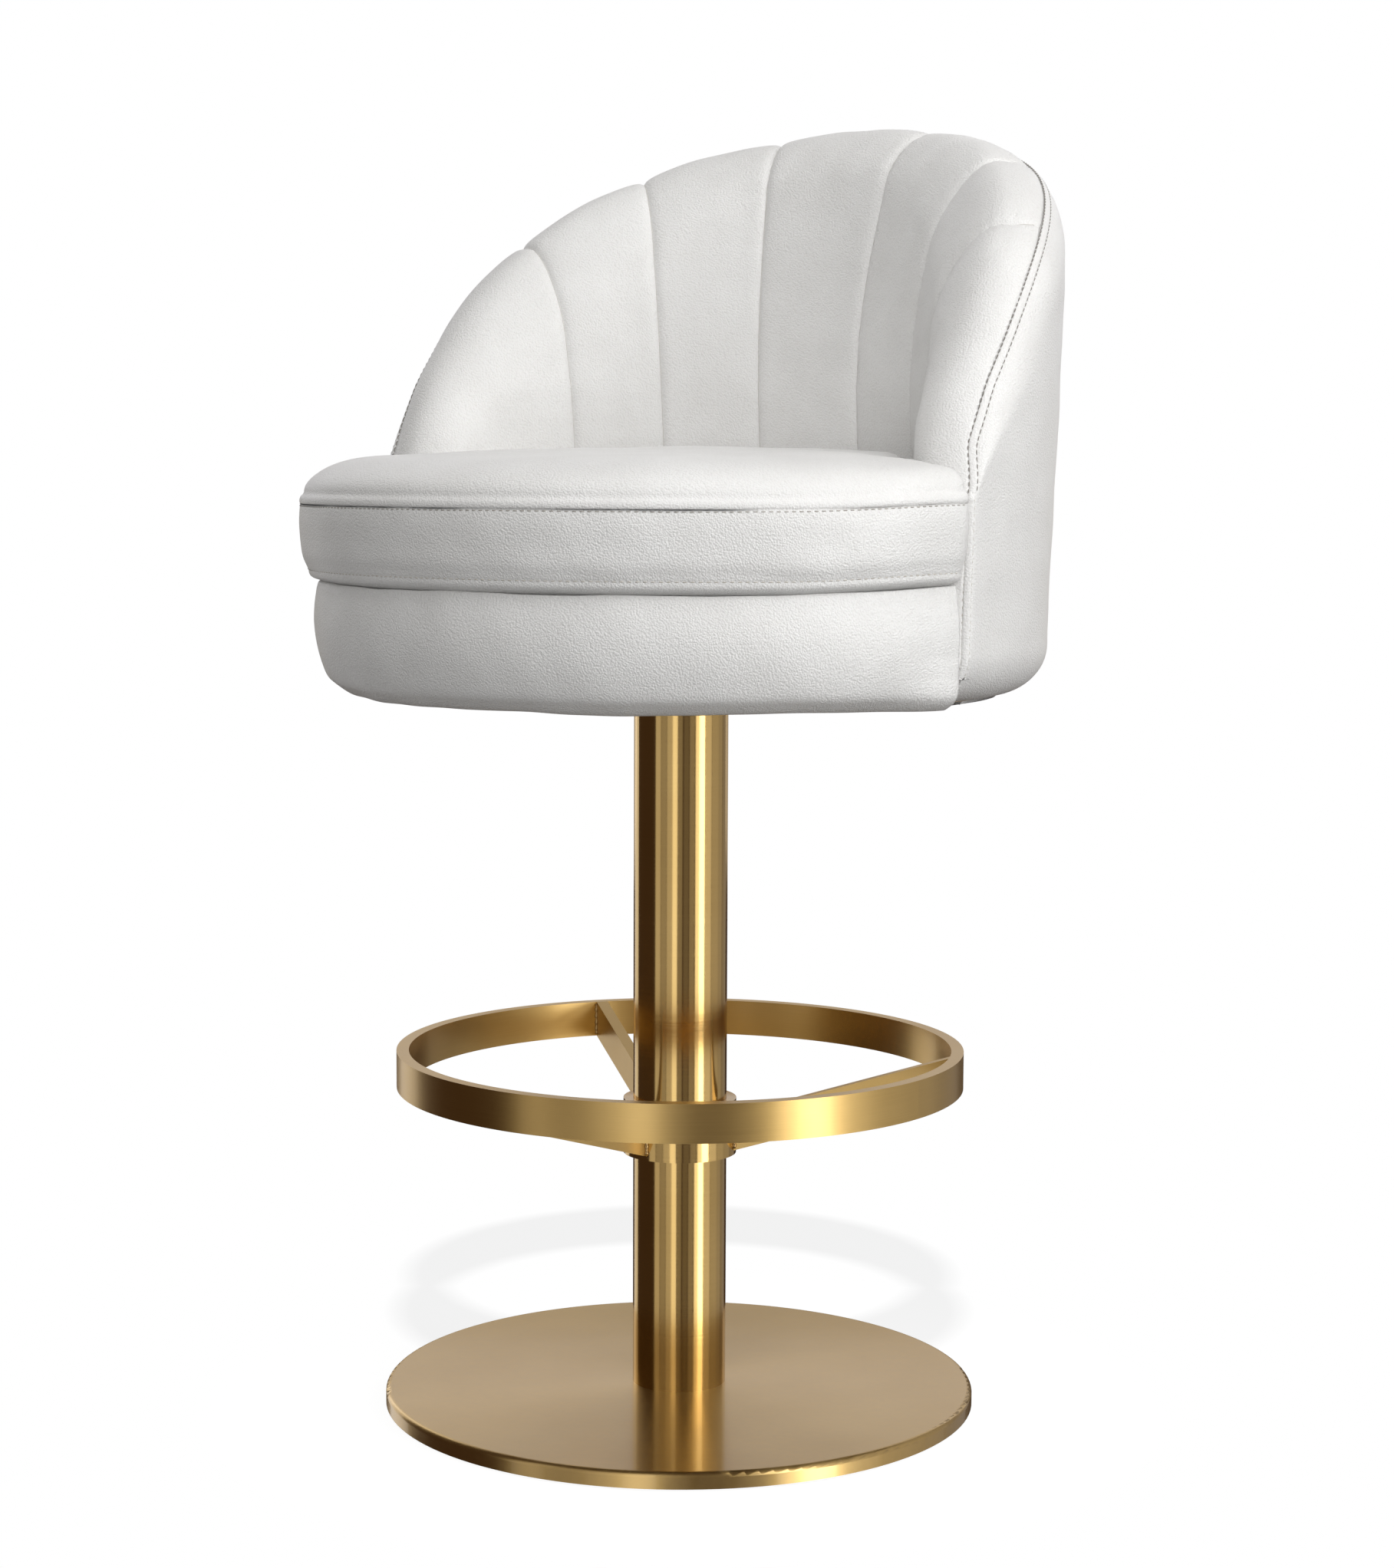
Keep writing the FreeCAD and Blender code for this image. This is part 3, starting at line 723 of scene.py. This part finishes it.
def make_twin_seam():
    """Narrow band round the back's shoulder and down the arms, stitched along both sides."""
    rows = 9
    offsets = np.linspace(-TWIN_HALF + 0.0002, TWIN_HALF - 0.0002, rows)
    columns = [shoulder_line(offset)[0] for offset in offsets]
    front = np.stack(columns, axis=1)
    _, normals, _ = shoulder_line(0.0)
    crown = 0.0007 * (1.0 - (offsets / TWIN_HALF) ** 4) - 0.0004
    front = front + normals[:, None] * crown[None, :, None]
    back = front - normals[:, None] * 0.004
    seat_piece(closed_pad("twin_seam_band", front, back, WHITE))
    for name, offset in (("twin_stitches_inner", -TWIN_HALF), ("twin_stitches_outer", TWIN_HALF)):
        points, normals, _ = shoulder_line(offset)
        high = points[:, 2] > CUSHION_CROWN - 0.035
        stitches(name, (points - normals * 0.0003)[high], normals[high], DARK_THREAD)
        for end, side in (("left", -1.0), ("right", 1.0)):
            low = ~high & (points[:, 0] * side > 0.0)
            stitches("%s_%s" % (name, end), (points - normals * 0.0007)[low], normals[low],
                     SOFT_THREAD)


def make_arm_fronts():
    """The flat front of each arm beside the apron, inwards of the twin seam."""
    low = np.where((EDGE[:, 1] < CUSHION_SEAM) & (EDGE[:, 1] > BACK_FOOT + 0.006))[0]
    for name, rows in (("arm_front_left", low[low < len(EDGE) // 2]),
                       ("arm_front_right", low[low > len(EDGE) // 2])):
        base, inward = EDGE[rows], EDGE_INWARD[rows]
        middle = shoulder_angle(base[:, 1])
        start = middle - TWIN_HALF / skin_per_angle(base, middle)
        angles = start[:, None] * np.linspace(1.0, 0.0, 10)[None]
        depth = outer_roll(base[:, 1])[:, None] * (1.0 - np.cos(angles))
        flat = base[:, None] + inward[:, None] * depth[..., None]
        rolled = outer_surface(flat[..., 0], flat[..., 1])
        radii = np.linspace(CREST_RADIUS, DRUM_RADIUS - 0.024, 6)
        level = np.stack([place(base[:, 0], base[:, 1], radius) for radius in radii], 1)
        front = np.concatenate([rolled, level], axis=1)
        normals = grid_normals(front)
        if normals[..., 1].sum() > 0:
            normals = -normals
        front = front + normals * (0.0003 * ripple(front, 0.03, 31))[..., None]
        seat_piece(closed_pad(name, front, front - normals * 0.004, WHITE))


# ---- seat cushion ------------------------------------------------------------------------
def end_draw(turn, radius, amount):
    """How far the round front is drawn in where it meets the arms."""
    limit = math.acos(REAR_LINE_Y / radius)
    reach = radius * (np.minimum(turn, 2.0 * math.pi - turn) - limit)
    return amount * (1.0 - quarter(reach / END_REACH))


def beside_arm(turn, reach=0.55):
    """1 where the round front meets an arm, falling to 0 further round."""
    return 1.0 - smooth((np.minimum(turn, 2.0 * math.pi - turn) - 1.72) / reach)


def swept(profile, turns, draw, lift=0.0, fuller=0.0):
    """Grid of a (radius, z) profile carried round the column; its ends are drawn in a little."""
    radius = profile[:, 0][None] - end_draw(turns, CUSHION_RADIUS, draw)[:, None] + fuller
    z = np.tile(profile[:, 1], (len(turns), 1)) + lift
    return np.stack([radius * np.sin(turns)[:, None], radius * np.cos(turns)[:, None], z], -1)


def soft_profile(points, steps):
    """Smooth line through (radius, z) points, by uniform Catmull-Rom pieces."""
    p = np.array([points[0]] + list(points) + [points[-1]], float)
    line = []
    for k in range(1, len(p) - 2):
        for t in np.linspace(0.0, 1.0, steps, endpoint=False):
            a, b, c, d = p[k - 1], p[k], p[k + 1], p[k + 2]
            line.append(0.5 * (2 * b + (c - a) * t + (2 * a - 5 * b + 4 * c - d) * t * t
                               + (3 * b - a - 3 * c + d) * t ** 3))
    line.append(p[-2])
    return np.array(line)


def front_turns(radius, count):
    """Turns of the round front, from one arm to the other."""
    limit = math.acos(REAR_LINE_Y / radius)
    ends = 0.5 - 0.5 * np.cos(np.linspace(0.0, math.pi, count))
    even = np.linspace(0.0, 1.0, count)
    share = 0.25 * ends + 0.75 * even
    return limit + (2.0 * math.pi - 2.0 * limit) * share


def make_cushion_band():
    seam = CUSHION_SEAM - 0.001
    profile = soft_profile([
        (0.262, CUSHION_BOTTOM + 0.0010), (0.2800, CUSHION_BOTTOM + 0.0015),
        (0.2890, CUSHION_BOTTOM + 0.0042), (0.2950, CUSHION_BOTTOM + 0.0066),
        (0.2972, CUSHION_BOTTOM + 0.0110), (0.2984, CUSHION_BOTTOM + 0.0155),
        (0.3012, CUSHION_BOTTOM + 0.0240), (0.3026, CUSHION_BOTTOM + 0.0370),
        (0.3036, CUSHION_BOTTOM + 0.0500), (0.3036, seam - 0.0060), (0.3034, seam - 0.0030),
        (0.3030, seam - 0.0012), (0.3020, seam + 0.0002), (0.2994, seam + 0.0004),
        (0.290, seam)], 7)
    turns = front_turns(CUSHION_RADIUS, 300)
    grid = swept(profile, turns, CUSHION_END_DRAW, ARM_LIFT * beside_arm(turns)[:, None])
    normals = outward_normals(grid)
    side = smooth((profile[:, 0] - 0.297) / 0.003)[None]
    wave = (0.00045 * ripple(grid, 0.05, 7) + 0.0002 * ripple(grid, 0.02, 8)) * side
    hem = profile[:, 1][None] - CUSHION_BOTTOM
    wave = wave - 0.0005 * np.exp(-((hem - 0.0120) / 0.0016) ** 2)
    grid = grid + normals * wave[..., None]
    inner = grid - away_from_axis(grid) * 0.012
    inner[..., 2] = np.clip(inner[..., 2], CUSHION_BOTTOM + 0.004, CUSHION_SEAM - 0.003)
    piece = closed_pad("cushion_side_band", grid, inner, WHITE)
    seat_piece(piece, "cushion_band", "cushion_base_cloth", fill=0.8)
    for name, height, look, inset in (
            ("cushion_top_stitches", seam - 0.0016, SEAM_THREAD, 0.0001),
            ("cushion_hem_stitches", CUSHION_BOTTOM + 0.0120, SOFT_THREAD, 0.0002)):
        k = int(np.argmin(np.abs(profile[:, 1] - height) + (profile[:, 0] < 0.295)))
        points = grid[4:-4, k]
        out = away_from_axis(points)
        stitches(name, points - out * inset, out, look)


def cushion_radius_at(angle):
    """Reach of the cushion from the middle of its rear line, at an angle from +X."""
    direction = np.stack([np.cos(angle), np.sin(angle)], -1)
    front = np.sin(angle) <= 1e-9
    centre_y = np.where(front, 0.0, WELL_CENTRE_Y)
    size = np.where(front, CUSHION_RIM, TAIL_RADIUS)
    offset = REAR_LINE_Y - centre_y
    along = -direction[..., 1] * offset
    return along + np.sqrt(along ** 2 - offset ** 2 + size ** 2)


def dome(x, y, edge_gap, front):
    """Top of the cushion: a low crown that rolls down to the lip, or to the tail's side."""
    far = np.hypot(x, y) / CUSHION_RADIUS
    crown = CUSHION_CROWN + 0.001 - 0.014 * far ** 2
    lip = CUSHION_SEAM + 0.0078
    roll = np.where(front, 0.062, 0.020)
    drop = np.where(front, crown - lip, 0.030)
    return crown - drop * (1.0 - quarter(edge_gap / roll)) ** 1.15


def make_cushion_top():
    """Crowned top panel: round front, smaller tail in the well, and the lip over the seam."""
    tail_start = cushion_radius_at(np.array([0.0001]))[0]
    front_start = cushion_radius_at(np.array([0.0]))[0]
    shared = tail_start / front_start
    inner_share = np.linspace(0.02, 1.0, 34) * shared
    outer_share = shared + (1.0 - shared) * np.sin(np.linspace(0, math.pi / 2, 27)[1:])
    shares = np.concatenate([inner_share, outer_share])
    lip = [(0.0012, -0.0018), (0.0026, -0.0030), (0.0035, -0.0050), (0.0036, -0.0068),
           (0.0034, -0.0082), (0.0027, -0.0091), (-0.010, -0.0092)]
    front_angles = -np.linspace(0.0, math.pi, 241)
    reach = cushion_radius_at(front_angles)
    radius = reach[:, None] * shares[None]
    x = radius * np.cos(front_angles)[:, None]
    y = REAR_LINE_Y + radius * np.sin(front_angles)[:, None]
    gap = CUSHION_RIM - np.hypot(x, y)
    z = dome(x, y, np.maximum(gap, 0.0), True)
    front = np.stack([x, y, z], -1)
    rim = front[:, -1]
    out = away_from_axis(rim)
    fold = np.stack([rim + out * a + np.array([0, 0, b]) for a, b in lip], axis=1)
    front = np.concatenate([front, fold], axis=1)
    far = np.hypot(front[..., 0], front[..., 1])
    turn = np.arctan2(front[..., 0], front[..., 1]) % (2.0 * math.pi)
    at_rim = smooth((far - 0.265) / 0.030)
    drawn = end_draw(turn, CUSHION_RADIUS, CUSHION_END_DRAW) * at_rim
    front[..., :2] *= (1.0 - drawn / np.maximum(far, 0.01))[..., None]
    lift = ARM_LIFT * beside_arm(turn) * at_rim
    front[..., 2] += lift

    tail_angles = np.linspace(0.0, math.pi, 121)
    tail_reach = cushion_radius_at(np.maximum(tail_angles, 0.0001))
    tail_reach[-1] = tail_start
    tail_shares = inner_share / shared
    radius = tail_reach[:, None] * tail_shares[None]
    x = radius * np.cos(tail_angles)[:, None]
    y = REAR_LINE_Y + radius * np.sin(tail_angles)[:, None]
    gap = np.maximum(TAIL_RADIUS - np.hypot(x, y - WELL_CENTRE_Y), 0.0)
    behind = smooth((y - REAR_LINE_Y) / 0.05)
    z = dome(x, y, gap, False) * behind
    z += dome(x, y, np.maximum(CUSHION_RIM - np.hypot(x, y), 0), True) * (1 - behind)
    tail = np.stack([x, y, z], -1)

    under_front = front.copy()
    under_front[..., 2] = CUSHION_UNDER + lift
    under_tail = tail.copy()
    under_tail[:, :, 2] = np.where(tail[..., 1] > REAR_LINE_Y + 1e-5, CUSHION_BOTTOM + 0.004,
                                   CUSHION_UNDER)
    for grid in (front, tail):
        wave = 0.0007 * ripple(grid, 0.08, 11) + 0.00025 * ripple(grid, 0.025, 12)
        grid[..., 2] += wave * smooth((0.300 - np.hypot(grid[..., 0], grid[..., 1])) / 0.02)

    centre = np.array([[0.0, REAR_LINE_Y, front[:, 0, 2].mean()]])
    under_centre = np.array([[0.0, REAR_LINE_Y, CUSHION_UNDER]])
    top = np.concatenate([front.reshape(-1, 3), tail.reshape(-1, 3), centre])
    under = np.concatenate([under_front.reshape(-1, 3), under_tail.reshape(-1, 3), under_centre])
    rows, tail_rows, tail_first = front.shape[1], tail.shape[1], front.shape[0] * front.shape[1]
    faces = grid_faces(front.shape[0], rows) + grid_faces(tail.shape[0], tail_rows, tail_first)
    for first, count, step in ((0, front.shape[0], rows), (tail_first, tail.shape[0], tail_rows)):
        faces += [(len(top) - 1, first + i * step, first + (i + 1) * step)
                  for i in range(count - 1)]
    piece = closed_sheet("cushion_top_panel", top, under, faces, WHITE)
    seat_piece(piece, "cushion_top_cover", "cushion_foam", fill=0.7)


def make_apron():
    """Padded front of the drum, its lower edge well rounded and its ends drawn in."""
    low = APRON_BOTTOM
    profile = soft_profile([
        (DRUM_RADIUS + 0.0006, low + 0.0003), (0.2615, low + 0.0002), (0.2680, low + 0.0010),
        (0.2760, low + 0.0060), (0.2830, low + 0.0125), (0.2880, low + 0.0250),
        (0.2915, low + 0.0400), (0.2929, low + 0.0550), (0.2923, low + 0.0680),
        (0.2908, low + 0.0780), (0.2896, low + 0.0840), (0.2872, low + 0.0875),
        (0.2780, low + 0.0855)], 7)
    turns = front_turns(APRON_RADIUS, 300)
    high_share = smooth((profile[:, 1] - CUSHION_BOTTOM + 0.020) / 0.020)
    above = profile[:, 1] - low
    fuller = np.interp(above, (0.0, 0.001, 0.006, 0.0125, 0.025, 0.040),
                       (0.004, 0.010, 0.0105, 0.0075, 0.003, 0.0))
    grid = swept(profile, turns, APRON_END_DRAW,
                 ARM_LIFT * beside_arm(turns)[:, None] * high_share[None],
                 beside_arm(turns, 0.22)[:, None] * fuller[None])
    normals = outward_normals(grid)
    wave = 0.0008 * ripple(grid, 0.07, 15) + 0.0003 * ripple(grid, 0.028, 16)
    grid = grid + normals * wave[..., None]
    inner = grid - away_from_axis(grid) * 0.010
    near = np.hypot(inner[..., 0], inner[..., 1])
    keep = np.maximum(near, DRUM_RADIUS + 0.0004) / near
    inner[..., 0] *= keep
    inner[..., 1] *= keep
    piece = closed_pad("apron_pad", grid, inner, WHITE)
    seat_piece(piece, "apron_foam", "apron_cover", fill=0.8)


def make_deck_ledge():
    """Round padded strip between the cushion's tail and the foot of the back."""
    outer = DECK_OUTER_Y - WELL_CENTRE_Y
    inner = outer - 0.0146
    middle, half = (outer + inner) / 2, (outer - inner) / 2
    start = math.asin((ARM_FRONT + GAP - WELL_CENTRE_Y) / middle)
    angles = np.linspace(start, math.pi - start, 200)
    around = np.linspace(0.0, math.pi, 17)
    radius = middle + half * np.cos(around)
    height = DECK_TOP - half + half * np.sin(around)
    radius = np.concatenate([[outer], radius, [inner]])
    turn = np.degrees(np.abs(np.arctan2(middle * np.cos(angles),
                                        WELL_CENTRE_Y + middle * np.sin(angles))))
    wider = 1.0 + (ARM_THINNING + 0.003) * smooth((turn - 60.0) / 26.0) / (outer - inner)
    radius = inner + (radius - inner)[None] * wider[:, None]
    height = np.concatenate([[CUSHION_BOTTOM + 0.02], height, [CUSHION_BOTTOM + 0.02]])
    grid = np.stack([radius * np.cos(angles)[:, None],
                     WELL_CENTRE_Y + radius * np.sin(angles)[:, None],
                     np.tile(height, (len(angles), 1))], -1)
    core = grid.copy()
    core_radius = middle + (radius - middle) * 0.4
    core[..., 0] = core_radius * np.cos(angles)[:, None]
    core[..., 1] = WELL_CENTRE_Y + core_radius * np.sin(angles)[:, None]
    core[..., 2] = np.maximum(grid[..., 2] - 0.006, CUSHION_BOTTOM + 0.012)
    piece = closed_pad("deck_ledge", grid, core, WHITE)
    seat_piece(piece, "deck_strip", fill=0.8)


# ---- welds of the footrest ---------------------------------------------------------------
WELD_STEPS = 26
WELD_SIDES = 10
RING_THICKNESS = 0.010
SPOKE_SIDE = 0.0052      # from a spoke's middle to the weld along its face


def make_welds():
    """Uneven fillets up both sides of each spoke, at the ring and at the collar."""
    ring_inner = RING_OUTER - RING_THICKNESS
    for number in (1, 2, 3):
        spoke = nodes["footrest_spoke_%d" % number].data
        points = np.array([v.co for v in spoke.vertices])
        middle = points.mean(0)
        heading = math.atan2(middle[1], middle[0])
        outward = np.array([math.cos(heading), math.sin(heading), 0.0])
        side = np.array([-math.sin(heading), math.cos(heading), 0.0])
        reach = points @ outward
        for place_name, at, inwards in (("ring", ring_inner, -1.0), ("collar", COLLAR_OUTER, 1.0)):
            near = points[np.abs(reach - at) < 0.004]
            low, high = near[:, 2].min() + 0.002, near[:, 2].max() - 0.002
            for hand in (-1.0, 1.0):
                z = np.linspace(low, high, WELD_STEPS)
                line = (outward * (at + inwards * 0.0002))[None] + (side * hand * SPOKE_SIDE)[None] \
                    + np.stack([0 * z, 0 * z, z], 1)
                if place_name == "ring":
                    line -= outward[None] * 0.0001
                bead = 0.0016 + 0.0004 * np.sin(z / 0.0028 * math.pi + number)
                normals = np.tile((outward * inwards + side * hand) / math.sqrt(2), (WELD_STEPS, 1))
                name = "weld_%s_%d_%s" % (place_name, number, "a" if hand < 0 else "b")
                obj = tube_along(name, line, normals, 0.0036, 0.0034, BRASS_WELD, "base",
                                 WELD_SIDES)
                verts = obj.data.vertices
                for k in range(WELD_STEPS):
                    for j in range(WELD_SIDES):
                        v = verts[k * WELD_SIDES + j]
                        offset = v.co - Vector(line[k])
                        v.co = Vector(line[k]) + offset * float(bead[k] / 0.0017)


make_back_outer()
make_back_inside()
make_twin_seam()
make_arm_fronts()
make_cushion_band()
make_cushion_top()
make_apron()
make_deck_ledge()
make_welds()


# ---- floor, light and camera -------------------------------------------------------------
CAMERA_AZIMUTH = math.radians(37.0)
CAMERA_DISTANCE = 2.486
CAMERA_HEIGHT = 0.763
CAMERA_PITCH = math.radians(5.89)
CAMERA_ROLL = math.radians(0.20)
CAMERA_LENS = 71.1
CAMERA_SHIFT = 0.0102
FLOOR_REACH = 30.0
FLOOR_Z = -0.0004
FLOOR_CONTACT = 0.12     # how dark the painted contact shade is under the base
FLOOR_BOUNCE = 0.20      # how much of the floor's own light falls on the stool
SHADOW_BEHIND = (0.28, 0.40)     # centres of the painted round shade, behind the column
SHADOW_DEPTH = 0.115
PANEL_DISTANCE = 2.6
PANEL_TALL = 4.6


def make_camera():
    data = bpy.data.cameras.new("camera")
    data.lens = CAMERA_LENS
    data.sensor_width = 36.0
    data.shift_x = CAMERA_SHIFT
    data.clip_start, data.clip_end = 0.05, 100.0
    camera = bpy.data.objects.new("camera", data)
    bpy.context.scene.collection.objects.link(camera)
    a, p, roll = CAMERA_AZIMUTH, CAMERA_PITCH, CAMERA_ROLL
    level = Vector((-math.sin(a), math.cos(a), 0.0))
    right = Vector((math.cos(a), math.sin(a), 0.0))
    forward = level * math.cos(p) - Vector((0, 0, math.sin(p)))
    up = level * math.sin(p) + Vector((0, 0, math.cos(p)))
    axis_x = right * math.cos(roll) + up * math.sin(roll)
    axis_y = up * math.cos(roll) - right * math.sin(roll)
    matrix = Matrix((axis_x, axis_y, -forward)).transposed().to_4x4()
    matrix.translation = -level * CAMERA_DISTANCE + Vector((0, 0, CAMERA_HEIGHT))
    camera.matrix_world = matrix
    bpy.context.scene.camera = camera


def add_card(name, azimuth, distance, height, size, radiance, lights_cloth, shows_in_brass,
             colour=(1.0, 1.0, 1.0), aim=None):
    """Soft panel at an azimuth round the stool; radiance is how bright its face is."""
    data = bpy.data.lights.new(name, "AREA")
    data.shape = "RECTANGLE"
    data.size, data.size_y = size
    data.energy = radiance * size[0] * size[1] * math.pi
    data.color = colour
    card = bpy.data.objects.new(name, data)
    bpy.context.scene.collection.objects.link(card)
    a = math.radians(azimuth)
    card.location = (distance * math.sin(a), -distance * math.cos(a), height)
    towards = Vector((0, 0, height if aim is None else aim)) - card.location
    card.rotation_euler = towards.to_track_quat("-Z", "Y").to_euler()
    card.visible_camera = False
    card.visible_diffuse = lights_cloth
    card.visible_glossy = shows_in_brass


def make_world():
    """Pure white for the camera; dim surroundings in the brass, a soft fill on the cloth."""
    world = bpy.data.worlds.new("studio")
    bpy.context.scene.world = world
    world.use_nodes = True
    tree = world.node_tree
    tree.nodes.clear()
    path = add(tree, "LightPath")
    seen, on_cloth, in_brass = (
        add(tree, "Background", Color=(*colour, 1.0), Strength=strength).outputs[0]
        for colour, strength in (((1.0, 1.0, 1.0), 1.0), ((1.0, 0.99, 0.975), 0.32),
                                 ((1.0, 0.62, 0.42), 0.06)))

    def choose(ray, otherwise, shade):
        node = add(tree, "MixShader")
        for socket, value in zip(node.inputs, (path.outputs[ray], otherwise, shade)):
            tree.links.new(value, socket)
        return node.outputs[0]

    inner = choose("Is Glossy Ray", on_cloth, in_brass)
    add(tree, "OutputWorld", Surface=choose("Is Camera Ray", inner, seen))


def make_floor():
    """White floor that gives its own light; its contact shade and round shade are painted on."""
    material, tree, shader, place = new_material("pale_floor")
    feed(tree, shader, Roughness=0.6, Specular_IOR_Level=0.0,
         Emission_Color=(1.0, 1.0, 1.0, 1.0))

    def distance_from(centre):
        node = tree.nodes.new("ShaderNodeVectorMath")
        node.operation = "DISTANCE"
        tree.links.new(place, node.inputs[0])
        node.inputs[1].default_value = centre
        return node.outputs["Value"]

    def combine(operation, first, second):
        node = tree.nodes.new("ShaderNodeMath")
        node.operation = operation
        for socket, value in zip(node.inputs, (first, second)):
            if hasattr(value, "default_value"):
                tree.links.new(value, socket)
            else:
                socket.default_value = value
        return node.outputs[0]

    from_column = distance_from((0.0, 0.0, 0.0))
    pale = add_ramp(tree, from_column, [(0.24, FLOOR_CONTACT), (0.40, 0.0)])
    feed(tree, shader, Base_Color=pale)
    a = CAMERA_AZIMUTH
    near, far = (distance_from((-d * math.sin(a), d * math.cos(a), 0.0)) for d in SHADOW_BEHIND)
    outside_hollow = add_ramp(tree, combine("MAXIMUM", near, far), [(0.215, 0.0), (0.240, 1.0)])
    inside_rim = add_ramp(tree, combine("MINIMUM", near, far),
                          [(0.245, SHADOW_DEPTH), (0.270, 0.0)])
    band = combine("MULTIPLY", outside_hollow, inside_rim)
    rise = add_ramp(tree, from_column, [(0.24, 1.0 - 0.5 * FLOOR_CONTACT), (0.40, 1.0)])
    shown = combine("SUBTRACT", rise, band)
    dimmed = add(tree, "MapRange", Value=add(tree, "LightPath").outputs["Is Camera Ray"],
                 To_Min=FLOOR_BOUNCE, To_Max=1.0)
    glow = combine("MULTIPLY", shown, dimmed.outputs["Result"])
    feed(tree, shader, Emission_Strength=glow)
    corners = [(FLOOR_REACH * x, FLOOR_REACH * y, FLOOR_Z)
               for x, y in ((-1, -1), (1, -1), (1, 1), (-1, 1))]
    floor = make_mesh("floor", corners, [(0, 1, 2, 3)], material)
    floor.visible_glossy = False


make_camera()
make_world()
make_floor()
add_card("cloth_key_right", 92, 2.6, 1.55, (1.4, 1.8), 3.9, True, False, aim=0.75)
add_card("cloth_front", 42, 3.2, 1.3, (0.9, 0.9), 10.4, True, False, aim=0.65)
add_card("cloth_overhead", 60, 0.9, 2.7, (2.4, 2.4), 1.32, True, False, aim=0.7)
add_card("cloth_behind", 190, 2.6, 1.4, (1.4, 1.6), 1.4, True, False, aim=0.75)
# panels that show in the brass: side of the camera line in degrees, width in degrees, brightness
PANELS = ((-138, 24, 0.80), (-57, 14, 0.62), (-42, 14, 0.36), (-27, 14, 0.60), (-14, 12, 1.40),
          (-1, 10, 0.26), (13, 12, 0.14), (27, 12, 0.30), (41, 10, 1.60), (53, 14, 4.20),
          (71, 18, 0.78), (90, 18, 0.46), (110, 22, 0.36), (134, 24, 0.24))
for index, (side, width, radiance) in enumerate(PANELS):
    span = 2.0 * PANEL_DISTANCE * math.tan(math.radians(width / 2))
    add_card("panel_%d" % index, 37 + side, PANEL_DISTANCE, 0.20, (span, PANEL_TALL), radiance,
             False, True)
add_card("backdrop", 217, 3.0, 2.33, (5.0, 3.0), 0.66, False, True, (0.97, 0.98, 1.04))
add_card("backdrop_low", 217, 3.02, 0.42, (5.0, 0.82), 0.44, False, True, (1.0, 0.92, 0.76))

scene = bpy.context.scene
scene.view_settings.view_transform = "Standard"
scene.view_settings.look = "None"
